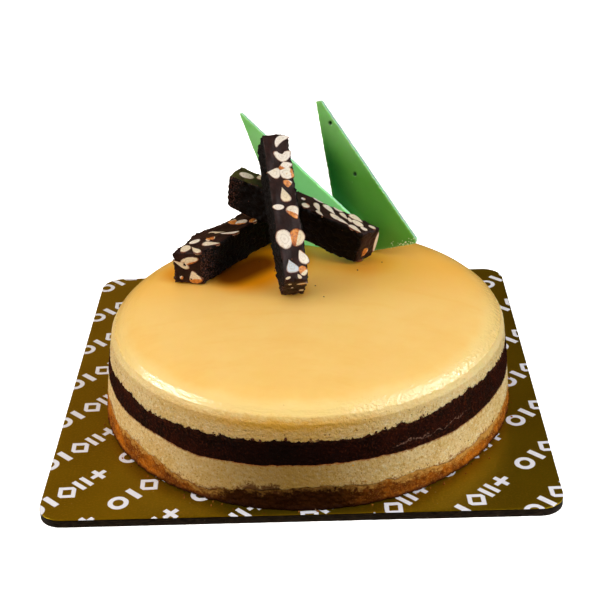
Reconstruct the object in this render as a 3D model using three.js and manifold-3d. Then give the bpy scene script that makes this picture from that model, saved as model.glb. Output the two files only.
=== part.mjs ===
// A layered cheesecake on its square gold cake board, topped with three bars of chocolate nut bark
// that lie across each other and two thin shards of green chocolate that stand behind them.
// Millimetres, +Z up, origin at the centre of the board's underside, -Y is the front.
import * as THREE from "three";
import { mergeVertices } from "three/addons/utils/BufferGeometryUtils.js";
import Module from "manifold-3d";

const wasm = await Module();
wasm.setup();

// ---- Driving dimensions -------------------------------------------------------------------------
const GAP = 0.3; // clearance between pieces that touch

const BOARD_SIDE = 254; // a ten inch board
const BOARD_THICKNESS = 4.5;
const BOARD_CORNER = 12;
const BOARD_EDGE_ROUNDING = 0.5;

const CAKE_CENTRE = [3.5, -14.7]; // the cake stands a little in front of the board's middle
const CAKE_HEIGHT = 54.3; // above the board
const CAKE_SEGMENTS = 108;
// Radius of the side at heights above the board: the crumb base spreads, the filling draws in.
const SIDE = [
  [0, 109.3],
  [8, 108.8],
  [15, 107.9],
  [26, 106.8],
  [38, 105.2],
  [42, 104.6],
];
const SIDE_LEAN = 0.026; // the filling leans a little towards +X as it goes up
const SHOULDER_HEIGHT = 13; // how far the rounded rim falls
const SHOULDER_WIDTH = 21;
const SHOULDER_FULLNESS = 2.3; // 2 is an ellipse, more is squarer
const SHOULDER_STEPS = 6;

const CRUMB_TOP = 10.2; // mean heights of the borders between the layers
const CHOCOLATE_LOW = 23.9;
const CHOCOLATE_HIGH = 36.8;
const SIDE_RINGS = [0.62, 0.9]; // rings across a layer's face, as shares of its radius
const BORDER_FADE = 4; // the borders are uneven at the side and level out inwards

// How far each border rises above its mean, every 15 degrees from the right hand side (+X) round by
// the back, and how far up and down that shifts the layers beside it.
const CRUMB_WAVE = {
  height: CRUMB_TOP,
  reach: 9.9,
  rise: [
    1, 0.5, -1.5, -2.5, 0.5, 2.5, 1, -1.5, 0, 2, 0.5, 1.5,
    2.5, 2.8, 1.8, 1.6, -5.6, -1, 2.4, 1.2, 0, -2.4, -0.8, 1.4,
  ],
};
const CHOCOLATE_LOW_WAVE = {
  height: CHOCOLATE_LOW,
  reach: 3.4,
  rise: [
    -0.6, 0.2, -0.4, 0.2, 0.8, 0.2, -0.5, -0.2, 0.6, 0.4, -0.3, 0.3,
    0.8, 1.4, 0.2, 0.4, -1.2, -0.4, 0.7, 0.5, 0.1, -0.3, 0.4, -0.8,
  ],
};
const CHOCOLATE_HIGH_WAVE = {
  height: CHOCOLATE_HIGH,
  reach: 6,
  rise: [
    1.2, 1, 0.3, -0.6, 0.2, 1.2, 0.4, -0.8, 0.3, 1.4, 0.6, -0.8,
    -2, -2.8, -1.2, -2.9, -1.7, -0.8, -0.4, -0.4, 0.8, 3.3, 2.8, 0.6,
  ],
};

const BAR_ROUNDING = 1.3;
const BAR_STEPS = [16, 4, 5]; // faces along, across and through a bar
const BAR_UNEVENNESS = 0.05; // share of its section by which a bar is pinched in places
const WIDTH_RIPPLE = [0.31, 0.4]; // radians per mm along and through a bar, across its width
const DEPTH_RIPPLE = [0.23, 0.5]; // radians per mm along and across a bar, through its depth
const TAPER_REACH = 0.25; // share of a bar's length over which a worn end narrows
const NUT_PROUD = 0.4;
const NUT_DEPTH = 1.4;
const NUT_SIDES = 8;
const NUT_RINGS = 4;
const NUT_SEED = 41;
const NUT_MARGIN = 4; // how far the nuts of a hidden face keep from its edges

const SHARD_BEVEL = 0.35;

// ---- Colours ------------------------------------------------------------------------------------
const COLOURS = {
  board: 0x7d6114,
  crumb: 0xa9622a,
  filling: 0xefd79d,
  topping: 0xf3c574,
  chocolate: 0x2a100a,
  bark: 0x1f1110,
  shard: 0x6fb568,
};

function material(name, roughness) {
  return new THREE.MeshStandardMaterial({
    color: COLOURS[name],
    roughness,
    metalness: name === "board" ? 0.6 : 0,
  });
}

// ---- Shared geometry ----------------------------------------------------------------------------
// A closed three.js geometry with its shared vertices joined, so that it holds positions only.
function joined(geometry) {
  const bare = geometry.clone();
  bare.deleteAttribute("normal");
  bare.deleteAttribute("uv");
  return mergeVertices(bare, 1e-4);
}

function solidOf(geometry) {
  const closed = joined(geometry);
  return new wasm.Manifold(
    new wasm.Mesh({
      numProp: 3,
      vertProperties: new Float32Array(closed.attributes.position.array),
      triVerts: new Uint32Array(closed.index.array),
    }),
  );
}

function geometryOf(solid) {
  const mesh = solid.getMesh();
  const geometry = new THREE.BufferGeometry();
  geometry.setAttribute("position", new THREE.BufferAttribute(mesh.vertProperties, 3));
  geometry.setIndex(new THREE.BufferAttribute(mesh.triVerts, 1));
  geometry.computeVertexNormals();
  return geometry;
}

function named(name, geometry, finish) {
  const mesh = new THREE.Mesh(geometry, finish);
  mesh.name = name;
  return mesh;
}

// Moves every vertex of a geometry by a function that changes the point it is given.
function reshape(geometry, change) {
  const positions = geometry.attributes.position;
  const point = new THREE.Vector3();
  for (let i = 0; i < positions.count; i++) {
    change(point.fromBufferAttribute(positions, i));
    positions.setXYZ(i, point.x, point.y, point.z);
  }
  return geometry;
}

// A repeatable source of numbers from 0 to 1.
function seeded(seed) {
  let state = seed;
  return () => {
    state = (state * 1664525 + 1013904223) % 4294967296;
    return state / 4294967296;
  };
}

// ---- Board: a rounded square of card covered in gold film ---------------------------------------
function boardOutline(side, corner) {
  const half = side / 2;
  const shape = new THREE.Shape();
  const turns = [
    [half - corner, corner - half, -Math.PI / 2],
    [half - corner, half - corner, 0],
    [corner - half, half - corner, Math.PI / 2],
    [corner - half, corner - half, Math.PI],
  ];
  shape.moveTo(corner - half, -half);
  for (const [x, y, from] of turns) shape.absarc(x, y, corner, from, from + Math.PI / 2, false);
  return shape;
}

function buildBoard() {
  const inset = BOARD_EDGE_ROUNDING;
  const geometry = new THREE.ExtrudeGeometry(
    boardOutline(BOARD_SIDE - 2 * inset, BOARD_CORNER - inset),
    {
      depth: BOARD_THICKNESS - 2 * inset,
      bevelThickness: inset,
      bevelSize: inset,
      bevelSegments: 1,
      curveSegments: 8,
    },
  );
  geometry.translate(0, 0, inset);
  return named("board", joined(geometry), material("board", 0.35));
}

// ---- Cake: four layers cut to one side, with uneven borders between them ------------------------
function sideRadius(height) {
  const above = SIDE.findIndex(([level]) => level > height);
  if (above === -1) return SIDE.at(-1)[1];
  if (above === 0) return SIDE[0][1];
  const [low, lowRadius] = SIDE[above - 1];
  const [high, highRadius] = SIDE[above];
  return lowRadius + ((height - low) / (high - low)) * (highRadius - lowRadius);
}

// A smooth closed curve through the wave's rises, read at an angle from +X.
function riseAt(wave, angle) {
  const count = wave.rise.length;
  const place = ((angle / (2 * Math.PI)) * count + count) % count;
  const step = Math.floor(place);
  const share = place - step;
  const eased = share * share * (3 - 2 * share);
  return wave.rise[step % count] * (1 - eased) + wave.rise[(step + 1) % count] * eased;
}

// Shifts a point of an evenly layered cake to where the uneven borders put it.
function settle(point) {
  const radius = Math.hypot(point.x, point.y);
  const angle = Math.atan2(point.y, point.x);
  const share = radius / sideRadius(point.z);
  let height = point.z;
  for (const wave of [CRUMB_WAVE, CHOCOLATE_LOW_WAVE, CHOCOLATE_HIGH_WAVE]) {
    const nearness = Math.max(0, 1 - Math.abs(point.z - wave.height) / wave.reach);
    height += nearness * riseAt(wave, angle) * share ** BORDER_FADE;
  }
  const grown = share * sideRadius(height);
  point.set(grown * Math.cos(angle) + SIDE_LEAN * height, grown * Math.sin(angle), height);
}

// The points of a layer's section from the axis out along its underside, up its side and back in.
function layerSection(low, high, steps) {
  const points = [new THREE.Vector2(0, low)];
  for (const share of SIDE_RINGS) points.push(new THREE.Vector2(share * sideRadius(low), low));
  for (let i = 0; i <= steps; i++) {
    const height = low + ((high - low) * i) / steps;
    points.push(new THREE.Vector2(sideRadius(height), height));
  }
  for (const share of SIDE_RINGS.toReversed())
    points.push(new THREE.Vector2(share * sideRadius(high), high));
  points.push(new THREE.Vector2(0, high));
  return points;
}

// The top layer's side ends in a rounded shoulder, and its face is flat.
function toppedSection(low, steps) {
  const shoulderLow = CAKE_HEIGHT - SHOULDER_HEIGHT;
  const points = layerSection(low, shoulderLow, steps).slice(0, SIDE_RINGS.length + steps + 2);
  const flat = sideRadius(shoulderLow) - SHOULDER_WIDTH;
  for (let i = 1; i <= SHOULDER_STEPS; i++) {
    const turn = (i / SHOULDER_STEPS) * (Math.PI / 2);
    points.push(
      new THREE.Vector2(
        flat + SHOULDER_WIDTH * Math.max(0, Math.cos(turn)) ** (2 / SHOULDER_FULLNESS),
        shoulderLow + SHOULDER_HEIGHT * Math.sin(turn) ** (2 / SHOULDER_FULLNESS),
      ),
    );
  }
  points.push(new THREE.Vector2(0, CAKE_HEIGHT));
  return points;
}

function buildLayer(name, section, finish) {
  const geometry = new THREE.LatheGeometry(section, CAKE_SEGMENTS);
  geometry.rotateX(Math.PI / 2);
  return named(name, reshape(joined(geometry), settle), finish);
}

function buildCake() {
  const cake = new THREE.Group();
  const half = GAP / 2;
  cake.add(
    buildLayer("crumb_base", layerSection(GAP, CRUMB_TOP - half, 3), material("crumb", 0.75)),
    buildLayer(
      "lower_filling",
      layerSection(CRUMB_TOP + half, CHOCOLATE_LOW - half, 3),
      material("filling", 0.6),
    ),
    buildLayer(
      "chocolate_layer",
      layerSection(CHOCOLATE_LOW + half, CHOCOLATE_HIGH - half, 3),
      material("chocolate", 0.55),
    ),
    buildLayer("upper_filling", toppedSection(CHOCOLATE_HIGH + half, 2), material("topping", 0.3)),
  );
  cake.position.set(...CAKE_CENTRE, BOARD_THICKNESS);
  return cake;
}

// ---- Bars: sawn from a slab of nut bark, so cut nuts show on two long faces and on the ends ------
// Each bar lies along its own X from its near end, its plain faces look along Y and its cut faces
// along Z. A nut is [along, across, length, width, turn in degrees].
const BARS = [
  {
    name: "bar_left",
    near: [-59.9, 10.4, 68.9],
    heading: 54.3,
    climb: 0,
    roll: 0,
    size: [70, 15.4, 19.6],
    slants: [-0.44, 0.1],
    rakes: [0, 0],
    taper: 0,
    face: [
      [3, 3, 7, 4, 10],
      [5, -2.5, 9, 4, 60],
      [13, 4, 7, 3.5, 0],
      [17, -4, 8, 4, -40],
      [23, -1, 4, 3, 0],
      [29, 2, 9, 3.5, -50],
      [34, -4.5, 10, 3.5, -30],
      [42, 2.5, 7, 4.5, 20],
      [49, 2.5, 5, 4, -20],
    ],
    nearEnd: [
      [5, -1, 9, 3.6, 65],
      [5.5, 4, 8, 3.2, 80],
      [-5.5, -3, 6.5, 5, 20],
    ],
    farEnd: [
      [3, -2, 7, 4, 30],
      [-5, 3, 6, 4, -60],
    ],
    hiddenNuts: 5,
    clearOf: [[0, 70]],
  },
  {
    name: "bar_cross",
    near: [-35.4, 58.8, 95.9],
    heading: -20.8,
    climb: -18.2,
    roll: 3.3,
    size: [84, 14.2, 21],
    slants: [0.1, 0.42],
    rakes: [-0.16, 0],
    taper: 0,
    face: [
      [6, 0, 9, 6, 20],
      [15, 3, 6, 4, 0],
      [44, -4, 5, 5, 0],
      [48, 4.5, 7, 3, -10],
      [51, -1, 8, 4.5, -50],
      [56, 2.5, 9, 4, -30],
      [62.5, -2, 7, 3.5, -15],
      [67.5, -3.5, 8, 3.5, -15],
      [73, 3.5, 10, 5, -10],
      [74.5, -4.5, 7, 3.5, -10],
    ],
    nearEnd: [
      [4, 3, 6, 4, 30],
      [-4, -2, 8, 4, 70],
    ],
    farEnd: [
      [4, -1, 5, 4, 0],
      [-3.5, 4.5, 9, 3, 80],
    ],
    hiddenNuts: 6,
    clearOf: [[8, 36], [72, 84]],
  },
  {
    name: "bar_front",
    near: [-1.4, -12.2, 66.5],
    heading: 99,
    climb: 38.1,
    roll: 4.3,
    size: [90, 15.2, 18.4],
    slants: [0, 0],
    rakes: [0, 0],
    taper: 0.16,
    face: [
      [84.5, -3, 9, 6.5, 50],
      [76, -2, 9.5, 6, -10],
      [65, 3.8, 7, 8.5, 0],
      [67, -3, 10, 7.5, 20],
      [58.5, -3.5, 5, 4, 0],
      [52, -0.5, 9.5, 6.5, 0],
      [44, 4, 3.6, 5.2, 0],
      [40.5, -4, 8, 6, 20],
      [25, 3.2, 11, 7, 10],
      [25.5, -3.6, 10, 6.8, -15],
      [14.5, -4.2, 9, 4.6, 25],
      [8.5, 1.8, 7, 6.4, 0],
      [5.5, -4.2, 5, 4.6, 0],
    ],
    nearEnd: [
      [5.5, -3, 3, 5.5, 0],
      [-3, -4, 2.5, 3, 0],
    ],
    farEnd: [
      [4, -2, 6, 4, 50],
      [-4, 2, 7, 4, 20],
    ],
    hiddenNuts: 8,
    clearOf: [[0, 12], [48, 74]],
  },
];

// How far along a bar a point is moved by the slanting cuts of its two ends.
function endShift(point, share, { slants, rakes }) {
  const slant = slants[0] + (slants[1] - slants[0]) * share;
  const rake = rakes[0] + (rakes[1] - rakes[0]) * share;
  return point.y * slant + point.z * rake;
}

// A box with softened edges, pinched unevenly along its length, cut slanting at its ends and worn
// narrower at its near end by the share that its taper gives.
function barBody(bar) {
  const [length, width, depth] = bar.size;
  const geometry = joined(new THREE.BoxGeometry(length, width, depth, ...BAR_STEPS));
  const core = new THREE.Vector3(length, width, depth).divideScalar(2).subScalar(BAR_ROUNDING);
  const inner = new THREE.Vector3();
  reshape(geometry, (point) => {
    inner.copy(point).clamp(core.clone().negate(), core);
    point.sub(inner).setLength(BAR_ROUNDING).add(inner);
    const widthRipple = Math.sin(point.x * WIDTH_RIPPLE[0] + point.z * WIDTH_RIPPLE[1]);
    const depthRipple = Math.cos(point.x * DEPTH_RIPPLE[0] + point.y * DEPTH_RIPPLE[1]);
    point.y *= 1 - BAR_UNEVENNESS * (0.5 + 0.5 * widthRipple);
    point.z *= 1 - BAR_UNEVENNESS * (0.5 + 0.5 * depthRipple);
    const along = point.x / length + 0.5;
    point.y *= 1 - bar.taper * Math.max(0, 1 - along / TAPER_REACH);
    point.x += endShift(point, along, bar);
  });
  return geometry.translate(length / 2, 0, 0);
}

// A cut nut is a shallow lens in a face, whose matrix gives its right, up and outward directions.
function nutLens([along, across, nutLength, nutWidth, turn], facing) {
  const lens = new THREE.SphereGeometry(0.5, NUT_SIDES, NUT_RINGS);
  lens.rotateX(Math.PI / 2);
  lens.scale(nutLength, nutWidth, 2 * NUT_DEPTH);
  lens.rotateZ(THREE.MathUtils.degToRad(turn));
  lens.translate(along, across, NUT_PROUD - NUT_DEPTH);
  return lens.applyMatrix4(facing);
}

// The nuts of the cut face that is turned down: evenly spaced along the bar, with a seeded scatter,
// and clear of what the bar lies on.
function hiddenNuts({ size: [length, width], hiddenNuts: count, clearOf }, draw) {
  const nuts = [];
  for (let i = 0; i < count; i++) {
    const along = ((i + 0.5) / count) * length + (draw() - 0.5) * 3;
    const across = (draw() - 0.5) * (width - 2 * NUT_MARGIN);
    const nut = [along, across, 6 + 3 * draw(), 3.5 + 1.5 * draw(), 120 * (draw() - 0.5)];
    if (!clearOf.some(([from, to]) => along > from && along < to)) nuts.push(nut);
  }
  return nuts;
}

function buildBar(bar, draw) {
  const [length, width, depth] = bar.size;
  const x = new THREE.Vector3(1, 0, 0);
  const y = new THREE.Vector3(0, 1, 0);
  const z = new THREE.Vector3(0, 0, 1);
  const face = (right, up, out, at) => new THREE.Matrix4().makeBasis(right, up, out).setPosition(...at);
  const pinch = 1 - BAR_UNEVENNESS / 2;
  const faces = [
    [bar.face, face(x, y, z, [0, 0, (depth / 2) * pinch])],
    [hiddenNuts(bar, draw), face(x, y.clone().negate(), z.clone().negate(), [0, 0, (-depth / 2) * pinch])],
    [bar.nearEnd, face(z, y, x.clone().negate(), [0, 0, 0])],
    [bar.farEnd, face(z.clone().negate(), y, x, [length, 0, 0])],
  ];
  let solid = solidOf(barBody(bar));
  for (const [nuts, facing] of faces) {
    for (const nut of nuts) {
      const lens = nutLens(nut, facing);
      if (nuts === bar.nearEnd) reshape(lens, (point) => (point.x += endShift(point, 0, bar)));
      if (nuts === bar.farEnd) reshape(lens, (point) => (point.x += endShift(point, 1, bar)));
      solid = solid.add(solidOf(lens));
    }
  }
  const mesh = named(bar.name, geometryOf(solid), material("bark", 0.5));
  mesh.position.set(...bar.near);
  const { degToRad } = THREE.MathUtils;
  mesh.rotation.set(degToRad(bar.roll), degToRad(-bar.climb), degToRad(bar.heading), "ZYX");
  return mesh;
}

// ---- Shards: thin broken sheets of green chocolate that stand on the cake behind the bars --------
// An outline's points are [along, up] from the shard's foot, in the plane of its front face.
const SHARDS = [
  {
    name: "shard_left",
    foot: [8, 52.9],
    heading: -19.5,
    lean: 8,
    thickness: 3,
    outline: [
      [-13.5, GAP],
      [30, GAP],
      [26.5, 18],
      [-44.4, 74],
      [-45.2, 73.8],
    ],
  },
  {
    name: "shard_right",
    foot: [42, 45],
    heading: -21.5,
    lean: 8.5,
    thickness: 3.5,
    outline: [
      [-19, GAP],
      [1.5, GAP],
      [25.2, 7.6],
      [25.4, 10.3],
      [-33.6, 83],
      [-36.6, 82.4],
    ],
  },
];

function buildShard({ name, foot, heading, lean, thickness, outline }) {
  const shape = new THREE.Shape(outline.map(([along, up]) => new THREE.Vector2(along, up)));
  const geometry = new THREE.ExtrudeGeometry(shape, {
    depth: thickness - 2 * SHARD_BEVEL,
    bevelThickness: SHARD_BEVEL,
    bevelSize: SHARD_BEVEL,
    bevelOffset: -SHARD_BEVEL,
    bevelSegments: 1,
  });
  geometry.translate(0, 0, SHARD_BEVEL - thickness);
  const mesh = named(name, joined(geometry), material("shard", 0.4));
  const { degToRad } = THREE.MathUtils;
  const backDrop = thickness * Math.sin(degToRad(lean)); // the leaning sheet's back edge is lower
  mesh.position.set(...foot, BOARD_THICKNESS + CAKE_HEIGHT + backDrop);
  mesh.rotation.set(degToRad(90 - lean), 0, degToRad(heading), "ZYX");
  return mesh;
}

// ---- The whole --------------------------------------------------------------------------------
const whole = new THREE.Group();
const draw = seeded(NUT_SEED);
whole.add(buildBoard(), buildCake());
for (const bar of BARS) whole.add(buildBar(bar, draw));
for (const shard of SHARDS) whole.add(buildShard(shard));

export default whole;
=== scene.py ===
# A layered cheesecake on its square gold cake board: a biscuit crumb base, pale baked filling, a dark
# chocolate layer and a smooth golden top, with three bars of chocolate nut bark lying across each other
# and two thin shards of green chocolate standing behind them.
# Metres, +Z up, origin at the centre of the board's underside, -Y is the front.
import math
import random

import bpy
from mathutils import Euler, Matrix, Vector, noise


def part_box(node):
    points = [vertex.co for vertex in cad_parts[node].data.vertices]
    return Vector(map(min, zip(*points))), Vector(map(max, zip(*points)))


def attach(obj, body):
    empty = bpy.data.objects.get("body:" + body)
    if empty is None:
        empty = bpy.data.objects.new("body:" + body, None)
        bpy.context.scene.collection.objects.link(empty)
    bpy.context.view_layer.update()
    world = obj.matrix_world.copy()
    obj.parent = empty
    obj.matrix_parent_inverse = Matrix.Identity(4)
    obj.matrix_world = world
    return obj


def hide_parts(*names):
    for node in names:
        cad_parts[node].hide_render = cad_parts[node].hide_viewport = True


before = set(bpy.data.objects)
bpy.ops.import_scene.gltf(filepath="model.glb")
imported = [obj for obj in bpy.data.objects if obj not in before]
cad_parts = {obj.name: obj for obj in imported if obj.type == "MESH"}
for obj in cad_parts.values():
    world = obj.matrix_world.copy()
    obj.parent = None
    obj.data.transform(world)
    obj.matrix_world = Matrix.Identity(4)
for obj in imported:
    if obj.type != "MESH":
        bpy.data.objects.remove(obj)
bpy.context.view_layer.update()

MM = 0.001

# ---- Camera --------------------------------------------------------------------------------------
# A long lens 0.7 metres from the middle of the cake, looking down on it at 28 degrees and turned
# slightly on its own axis.
CAMERA_PLACE = Vector((15.4, -645.7, 395.5)) * MM
CAMERA_TURN = math.radians(1.28)  # about the vertical, towards -X
CAMERA_DIP = math.radians(27.95)
CAMERA_TILT = math.radians(-2.21)  # about its own axis
LENS = 80.77  # millimetres, as is the sensor's width
SENSOR = 36

aim = (
    Matrix.Rotation(CAMERA_TURN, 3, "Z")
    @ Matrix.Rotation(math.pi / 2 - CAMERA_DIP, 3, "X")
    @ Matrix.Rotation(CAMERA_TILT, 3, "Z")
)
bpy.ops.object.camera_add(location=CAMERA_PLACE, rotation=aim.to_euler())
camera = bpy.context.object
camera.name = "photo_camera"
camera.data.lens = LENS
camera.data.sensor_width = SENSOR
camera.data.clip_start = 0.01
bpy.context.scene.camera = camera


# ---- Floor and light -----------------------------------------------------------------------------
# A pale floor in a warm room. Broad softboxes on the left, on the right, behind and above light the
# cake and leave its front in soft shade. Two narrow lamps show in its gloss alone.
def paint(red, green, blue):
    """A colour by its values on a screen, 0 to 255, as the linear colour that a shader takes."""
    shades = [value / 255 for value in (red, green, blue)]
    return tuple(s / 12.92 if s <= 0.04045 else ((s + 0.055) / 1.055) ** 2.4 for s in shades) + (1,)


def material(name, **sockets):
    """A new material whose principled shader has these plain values, and the place that it reads."""
    made = bpy.data.materials.new(name)
    made.use_nodes = True
    tree = made.node_tree
    skin = tree.nodes["Principled BSDF"]
    for socket, value in sockets.items():
        skin.inputs[socket.replace("_", " ").title().replace("Ior", "IOR")].default_value = value
    return made, tree, skin, node(tree, "TexCoord").outputs["Object"]


def node(tree, kind, *feeds, **settings):
    """A shader node with its settings made and its inputs fed in order; None leaves an input alone."""
    made = tree.nodes.new("ShaderNode" + kind)
    for name, value in settings.items():
        setattr(made, name, value)
    for socket, feed in zip(made.inputs, feeds):
        plug(tree, socket, feed)
    return made


def plug(tree, socket, feed):
    """Feeds a socket from another node's output or with a plain value."""
    if isinstance(feed, bpy.types.NodeSocket):
        tree.links.new(feed, socket)
    elif feed is not None:
        socket.default_value = feed


def calc(tree, operation, *feeds):
    return node(tree, "Math", *feeds, operation=operation).outputs[0]


def times(tree, first, second):
    return calc(tree, "MULTIPLY", first, second)


def total(tree, start, *parts):
    """A value with others added to it, each [value, weight]."""
    for value, weight in parts:
        start = calc(tree, "MULTIPLY_ADD", value, weight, start)
    return start


def between(tree, value, low, high):
    """0 below low and 1 above high, smooth in between; low above high turns it round."""
    return node(tree, "MapRange", value, low, high, 0.0, 1.0, interpolation_type="SMOOTHSTEP").outputs[0]


def blend(tree, share, first, second):
    """The first colour, turned into the second by the share."""
    made = node(tree, "Mix", data_type="RGBA")
    for name, feed in (("Factor_Float", share), ("A_Color", first), ("B_Color", second)):
        plug(tree, next(s for s in made.inputs if s.identifier == name), feed)
    return next(s for s in made.outputs if s.identifier == "Result_Color")


def grain(tree, place, scale, detail=3.0, rough=0.55):
    return node(tree, "TexNoise", place, None, scale, detail, rough).outputs[0]


def add_primitive(kind, name, **settings):
    """A new mesh, which alone is selected."""
    bpy.ops.object.select_all(action="DESELECT")
    getattr(bpy.ops.mesh, f"primitive_{kind}_add")(**settings)
    piece = bpy.context.object
    piece.name = name
    return piece


FLOOR_SIZE = 6.0
FLOOR_GLOW = 0.95  # so that it stays pale as far as it goes
floor = add_primitive("grid", "floor", x_subdivisions=2, y_subdivisions=2, size=FLOOR_SIZE)
pale, tree, skin, place = material(
    "pale_floor", roughness=0.9, emission_color=paint(255, 255, 255), emission_strength=FLOOR_GLOW
)
clouded = blend(tree, grain(tree, place, 6.0), paint(240, 240, 239), paint(246, 246, 245))
plug(tree, skin.inputs["Base Color"], clouded)
floor.data.materials.append(pale)
floor.visible_diffuse = False  # so that the shaded front stays as dark as it is
floor.visible_glossy = False

CAKE_MIDDLE = Vector((3.5, -14.7, 45)) * MM
LIGHT_DISTANCE = 0.95


def softbox(name, front, back, width, height, watts, gloss):
    """A softbox whose long side runs between two directions from the cake, [compass, height] in degrees,
    and which either lights the cake or is what shines in its gloss."""
    ends = [
        Vector((math.cos(turn) * math.cos(rise), math.sin(turn) * math.cos(rise), math.sin(rise)))
        for turn, rise in ([math.radians(angle) for angle in end] for end in (front, back))
    ]
    away = (ends[0] + ends[1]).normalized()
    along = (ends[0] - ends[1]).normalized()
    up = away.cross(along)
    facing = Matrix((along, up, away)).transposed()
    bpy.ops.object.light_add(
        type="AREA", location=CAKE_MIDDLE + away * LIGHT_DISTANCE, rotation=facing.to_euler()
    )
    lamp = bpy.context.object
    lamp.name = name
    lamp.data.shape = "ELLIPSE" if gloss else "RECTANGLE"
    lamp.data.size = width
    lamp.data.size_y = height
    lamp.data.energy = watts
    lamp.visible_glossy = gloss
    lamp.visible_diffuse = not gloss
    lamp.visible_transmission = not gloss


softbox("fill_left", (224, 26), (174, 26), 0.8, 0.5, 4.9, False)
softbox("fill_right", (-56, 26), (-4, 26), 0.8, 0.5, 6.3, False)
softbox("fill_behind", (64, 24), (116, 24), 0.8, 0.3, 1.7, False)
softbox("fill_above", (270, 70), (90, 70), 0.9, 0.9, 2.75, False)
softbox("shine_left", (206, 41), (164, 25), 0.66, 0.11, 7.8, True)
softbox("shine_right", (-42, 52), (12, 30), 0.8, 0.15, 10.5, True)

ROOM_LIGHT = 0.27
WALL_LIGHT = 0.17  # of the right wall
LEFT_WALL_LIGHT = 1.5  # by how much the left one is brighter
world = bpy.data.worlds.new("soft_room")
bpy.context.scene.world = world
world.use_nodes = True
tree = world.node_tree
sight = node(tree, "SeparateXYZ", node(tree, "TexCoord").outputs["Generated"])
ceiling = between(tree, sight.outputs[2], -0.25, 0.6)
glow = blend(tree, ceiling, paint(70, 38, 4), paint(255, 201, 100))
leftward = between(tree, sight.outputs[0], 0.14, -0.14)
walls = total(tree, WALL_LIGHT, (leftward, LEFT_WALL_LIGHT))
seen = node(tree, "LightPath").outputs["Is Camera Ray"]
room = tree.nodes["Background"]
plug(tree, room.inputs["Color"], blend(tree, seen, glow, paint(255, 255, 255)))
plug(tree, room.inputs["Strength"], calc(tree, "MAXIMUM", seen, times(tree, walls, ROOM_LIGHT)))
bpy.context.scene.view_settings.view_transform = "Standard"


# ---- Cake board ----------------------------------------------------------------------------------
# A ten inch square of thick card: two dark plies glued together, lined below, with a satin gold film
# over the top that turns a little way down the edge and is printed with rows of plain white shapes.
BOARD_LOW, BOARD_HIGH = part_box("board")
BOARD_SIDE = BOARD_HIGH.x - BOARD_LOW.x
BOARD_TOP = BOARD_HIGH.z
BOARD_CORNER = 12 * MM
LIP = 0.32 * MM  # how far the film turns down the edge
PLY_LINES = [0.4 * MM, 1.9 * MM, 2.3 * MM, 3.7 * MM, BOARD_TOP - LIP]
FLAT_SIDE = 100 * MM  # only the board's two flat faces are longer
FLAT_INSET = 2 * MM
EDGE_CUTS = 110


def select(*pieces):
    """Selects only these pieces, with the first one active."""
    bpy.ops.object.select_all(action="DESELECT")
    for piece in pieces:
        piece.select_set(True)
    bpy.context.view_layer.objects.active = pieces[0]


def edit(piece, *steps):
    """Runs edit mode steps on one piece, each with everything selected unless it selects for itself."""
    select(piece)
    for step in steps:
        bpy.ops.object.mode_set(mode="EDIT")
        bpy.ops.mesh.select_all(action="SELECT")
        step()
        bpy.ops.object.mode_set(mode="OBJECT")


def pick(piece, wanted):
    """In edit mode, selects only the edges that pass a test on their two ends."""
    bpy.ops.mesh.select_mode(type="EDGE")
    bpy.ops.mesh.select_all(action="DESELECT")
    bpy.ops.object.mode_set(mode="OBJECT")
    points = piece.data.vertices
    for edge in piece.data.edges:
        edge.select = wanted(*(points[i].co for i in edge.vertices))
    bpy.ops.object.mode_set(mode="EDIT")


def block(name, size, middle=(0, 0, 0)):
    """A block to start a piece from."""
    piece = add_primitive("cube", name, size=1, location=middle)
    piece.scale = size
    bpy.ops.object.transform_apply(location=True, rotation=True, scale=True)
    return piece


def finish_piece(piece, slot, *nodes, smooth):
    """Fixes a finished piece to the cake, in place of the solids that it stands for."""
    select(piece)
    bpy.ops.object.transform_apply(location=True, rotation=True, scale=True)
    bpy.ops.object.shade_smooth_by_angle(angle=math.radians(smooth))
    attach(piece, "root")
    if nodes:
        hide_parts(*nodes)


board = block("cake_board", (BOARD_SIDE, BOARD_SIDE, BOARD_TOP), (0, 0, BOARD_TOP / 2))


def round_corners():
    pick(board, lambda a, b: abs(a.z - b.z) > MM)
    bpy.ops.mesh.bevel(offset=BOARD_CORNER, segments=10)


def slice_plies():
    for height in PLY_LINES:
        bpy.ops.mesh.select_all(action="SELECT")
        bpy.ops.mesh.bisect(plane_co=(0, 0, height), plane_no=(0, 0, 1))


def round_lip():
    pick(board, lambda a, b: min(a.z, b.z) > BOARD_TOP - 0.01 * MM)
    bpy.ops.mesh.bevel(offset=LIP * 0.8, segments=3)


def frame_flats():
    bpy.ops.mesh.select_mode(type="FACE")
    bpy.ops.mesh.select_all(action="DESELECT")
    bpy.ops.object.mode_set(mode="OBJECT")
    for face in board.data.polygons:
        face.select = abs(face.normal.z) > 0.99 and face.area > FLAT_SIDE**2
    bpy.ops.object.mode_set(mode="EDIT")
    bpy.ops.mesh.inset(thickness=FLAT_INSET)


def part_edge():
    inside = BOARD_SIDE / 2 - FLAT_INSET * 0.75
    pick(
        board,
        lambda a, b: abs(a.z - b.z) < 0.01 * MM
        and (a - b).length > 20 * MM
        and max(abs(a.x + b.x), abs(a.y + b.y)) / 2 > inside,
    )
    bpy.ops.mesh.subdivide(number_cuts=EDGE_CUTS)


edit(board, round_corners, slice_plies, round_lip, frame_flats, part_edge)

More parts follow.
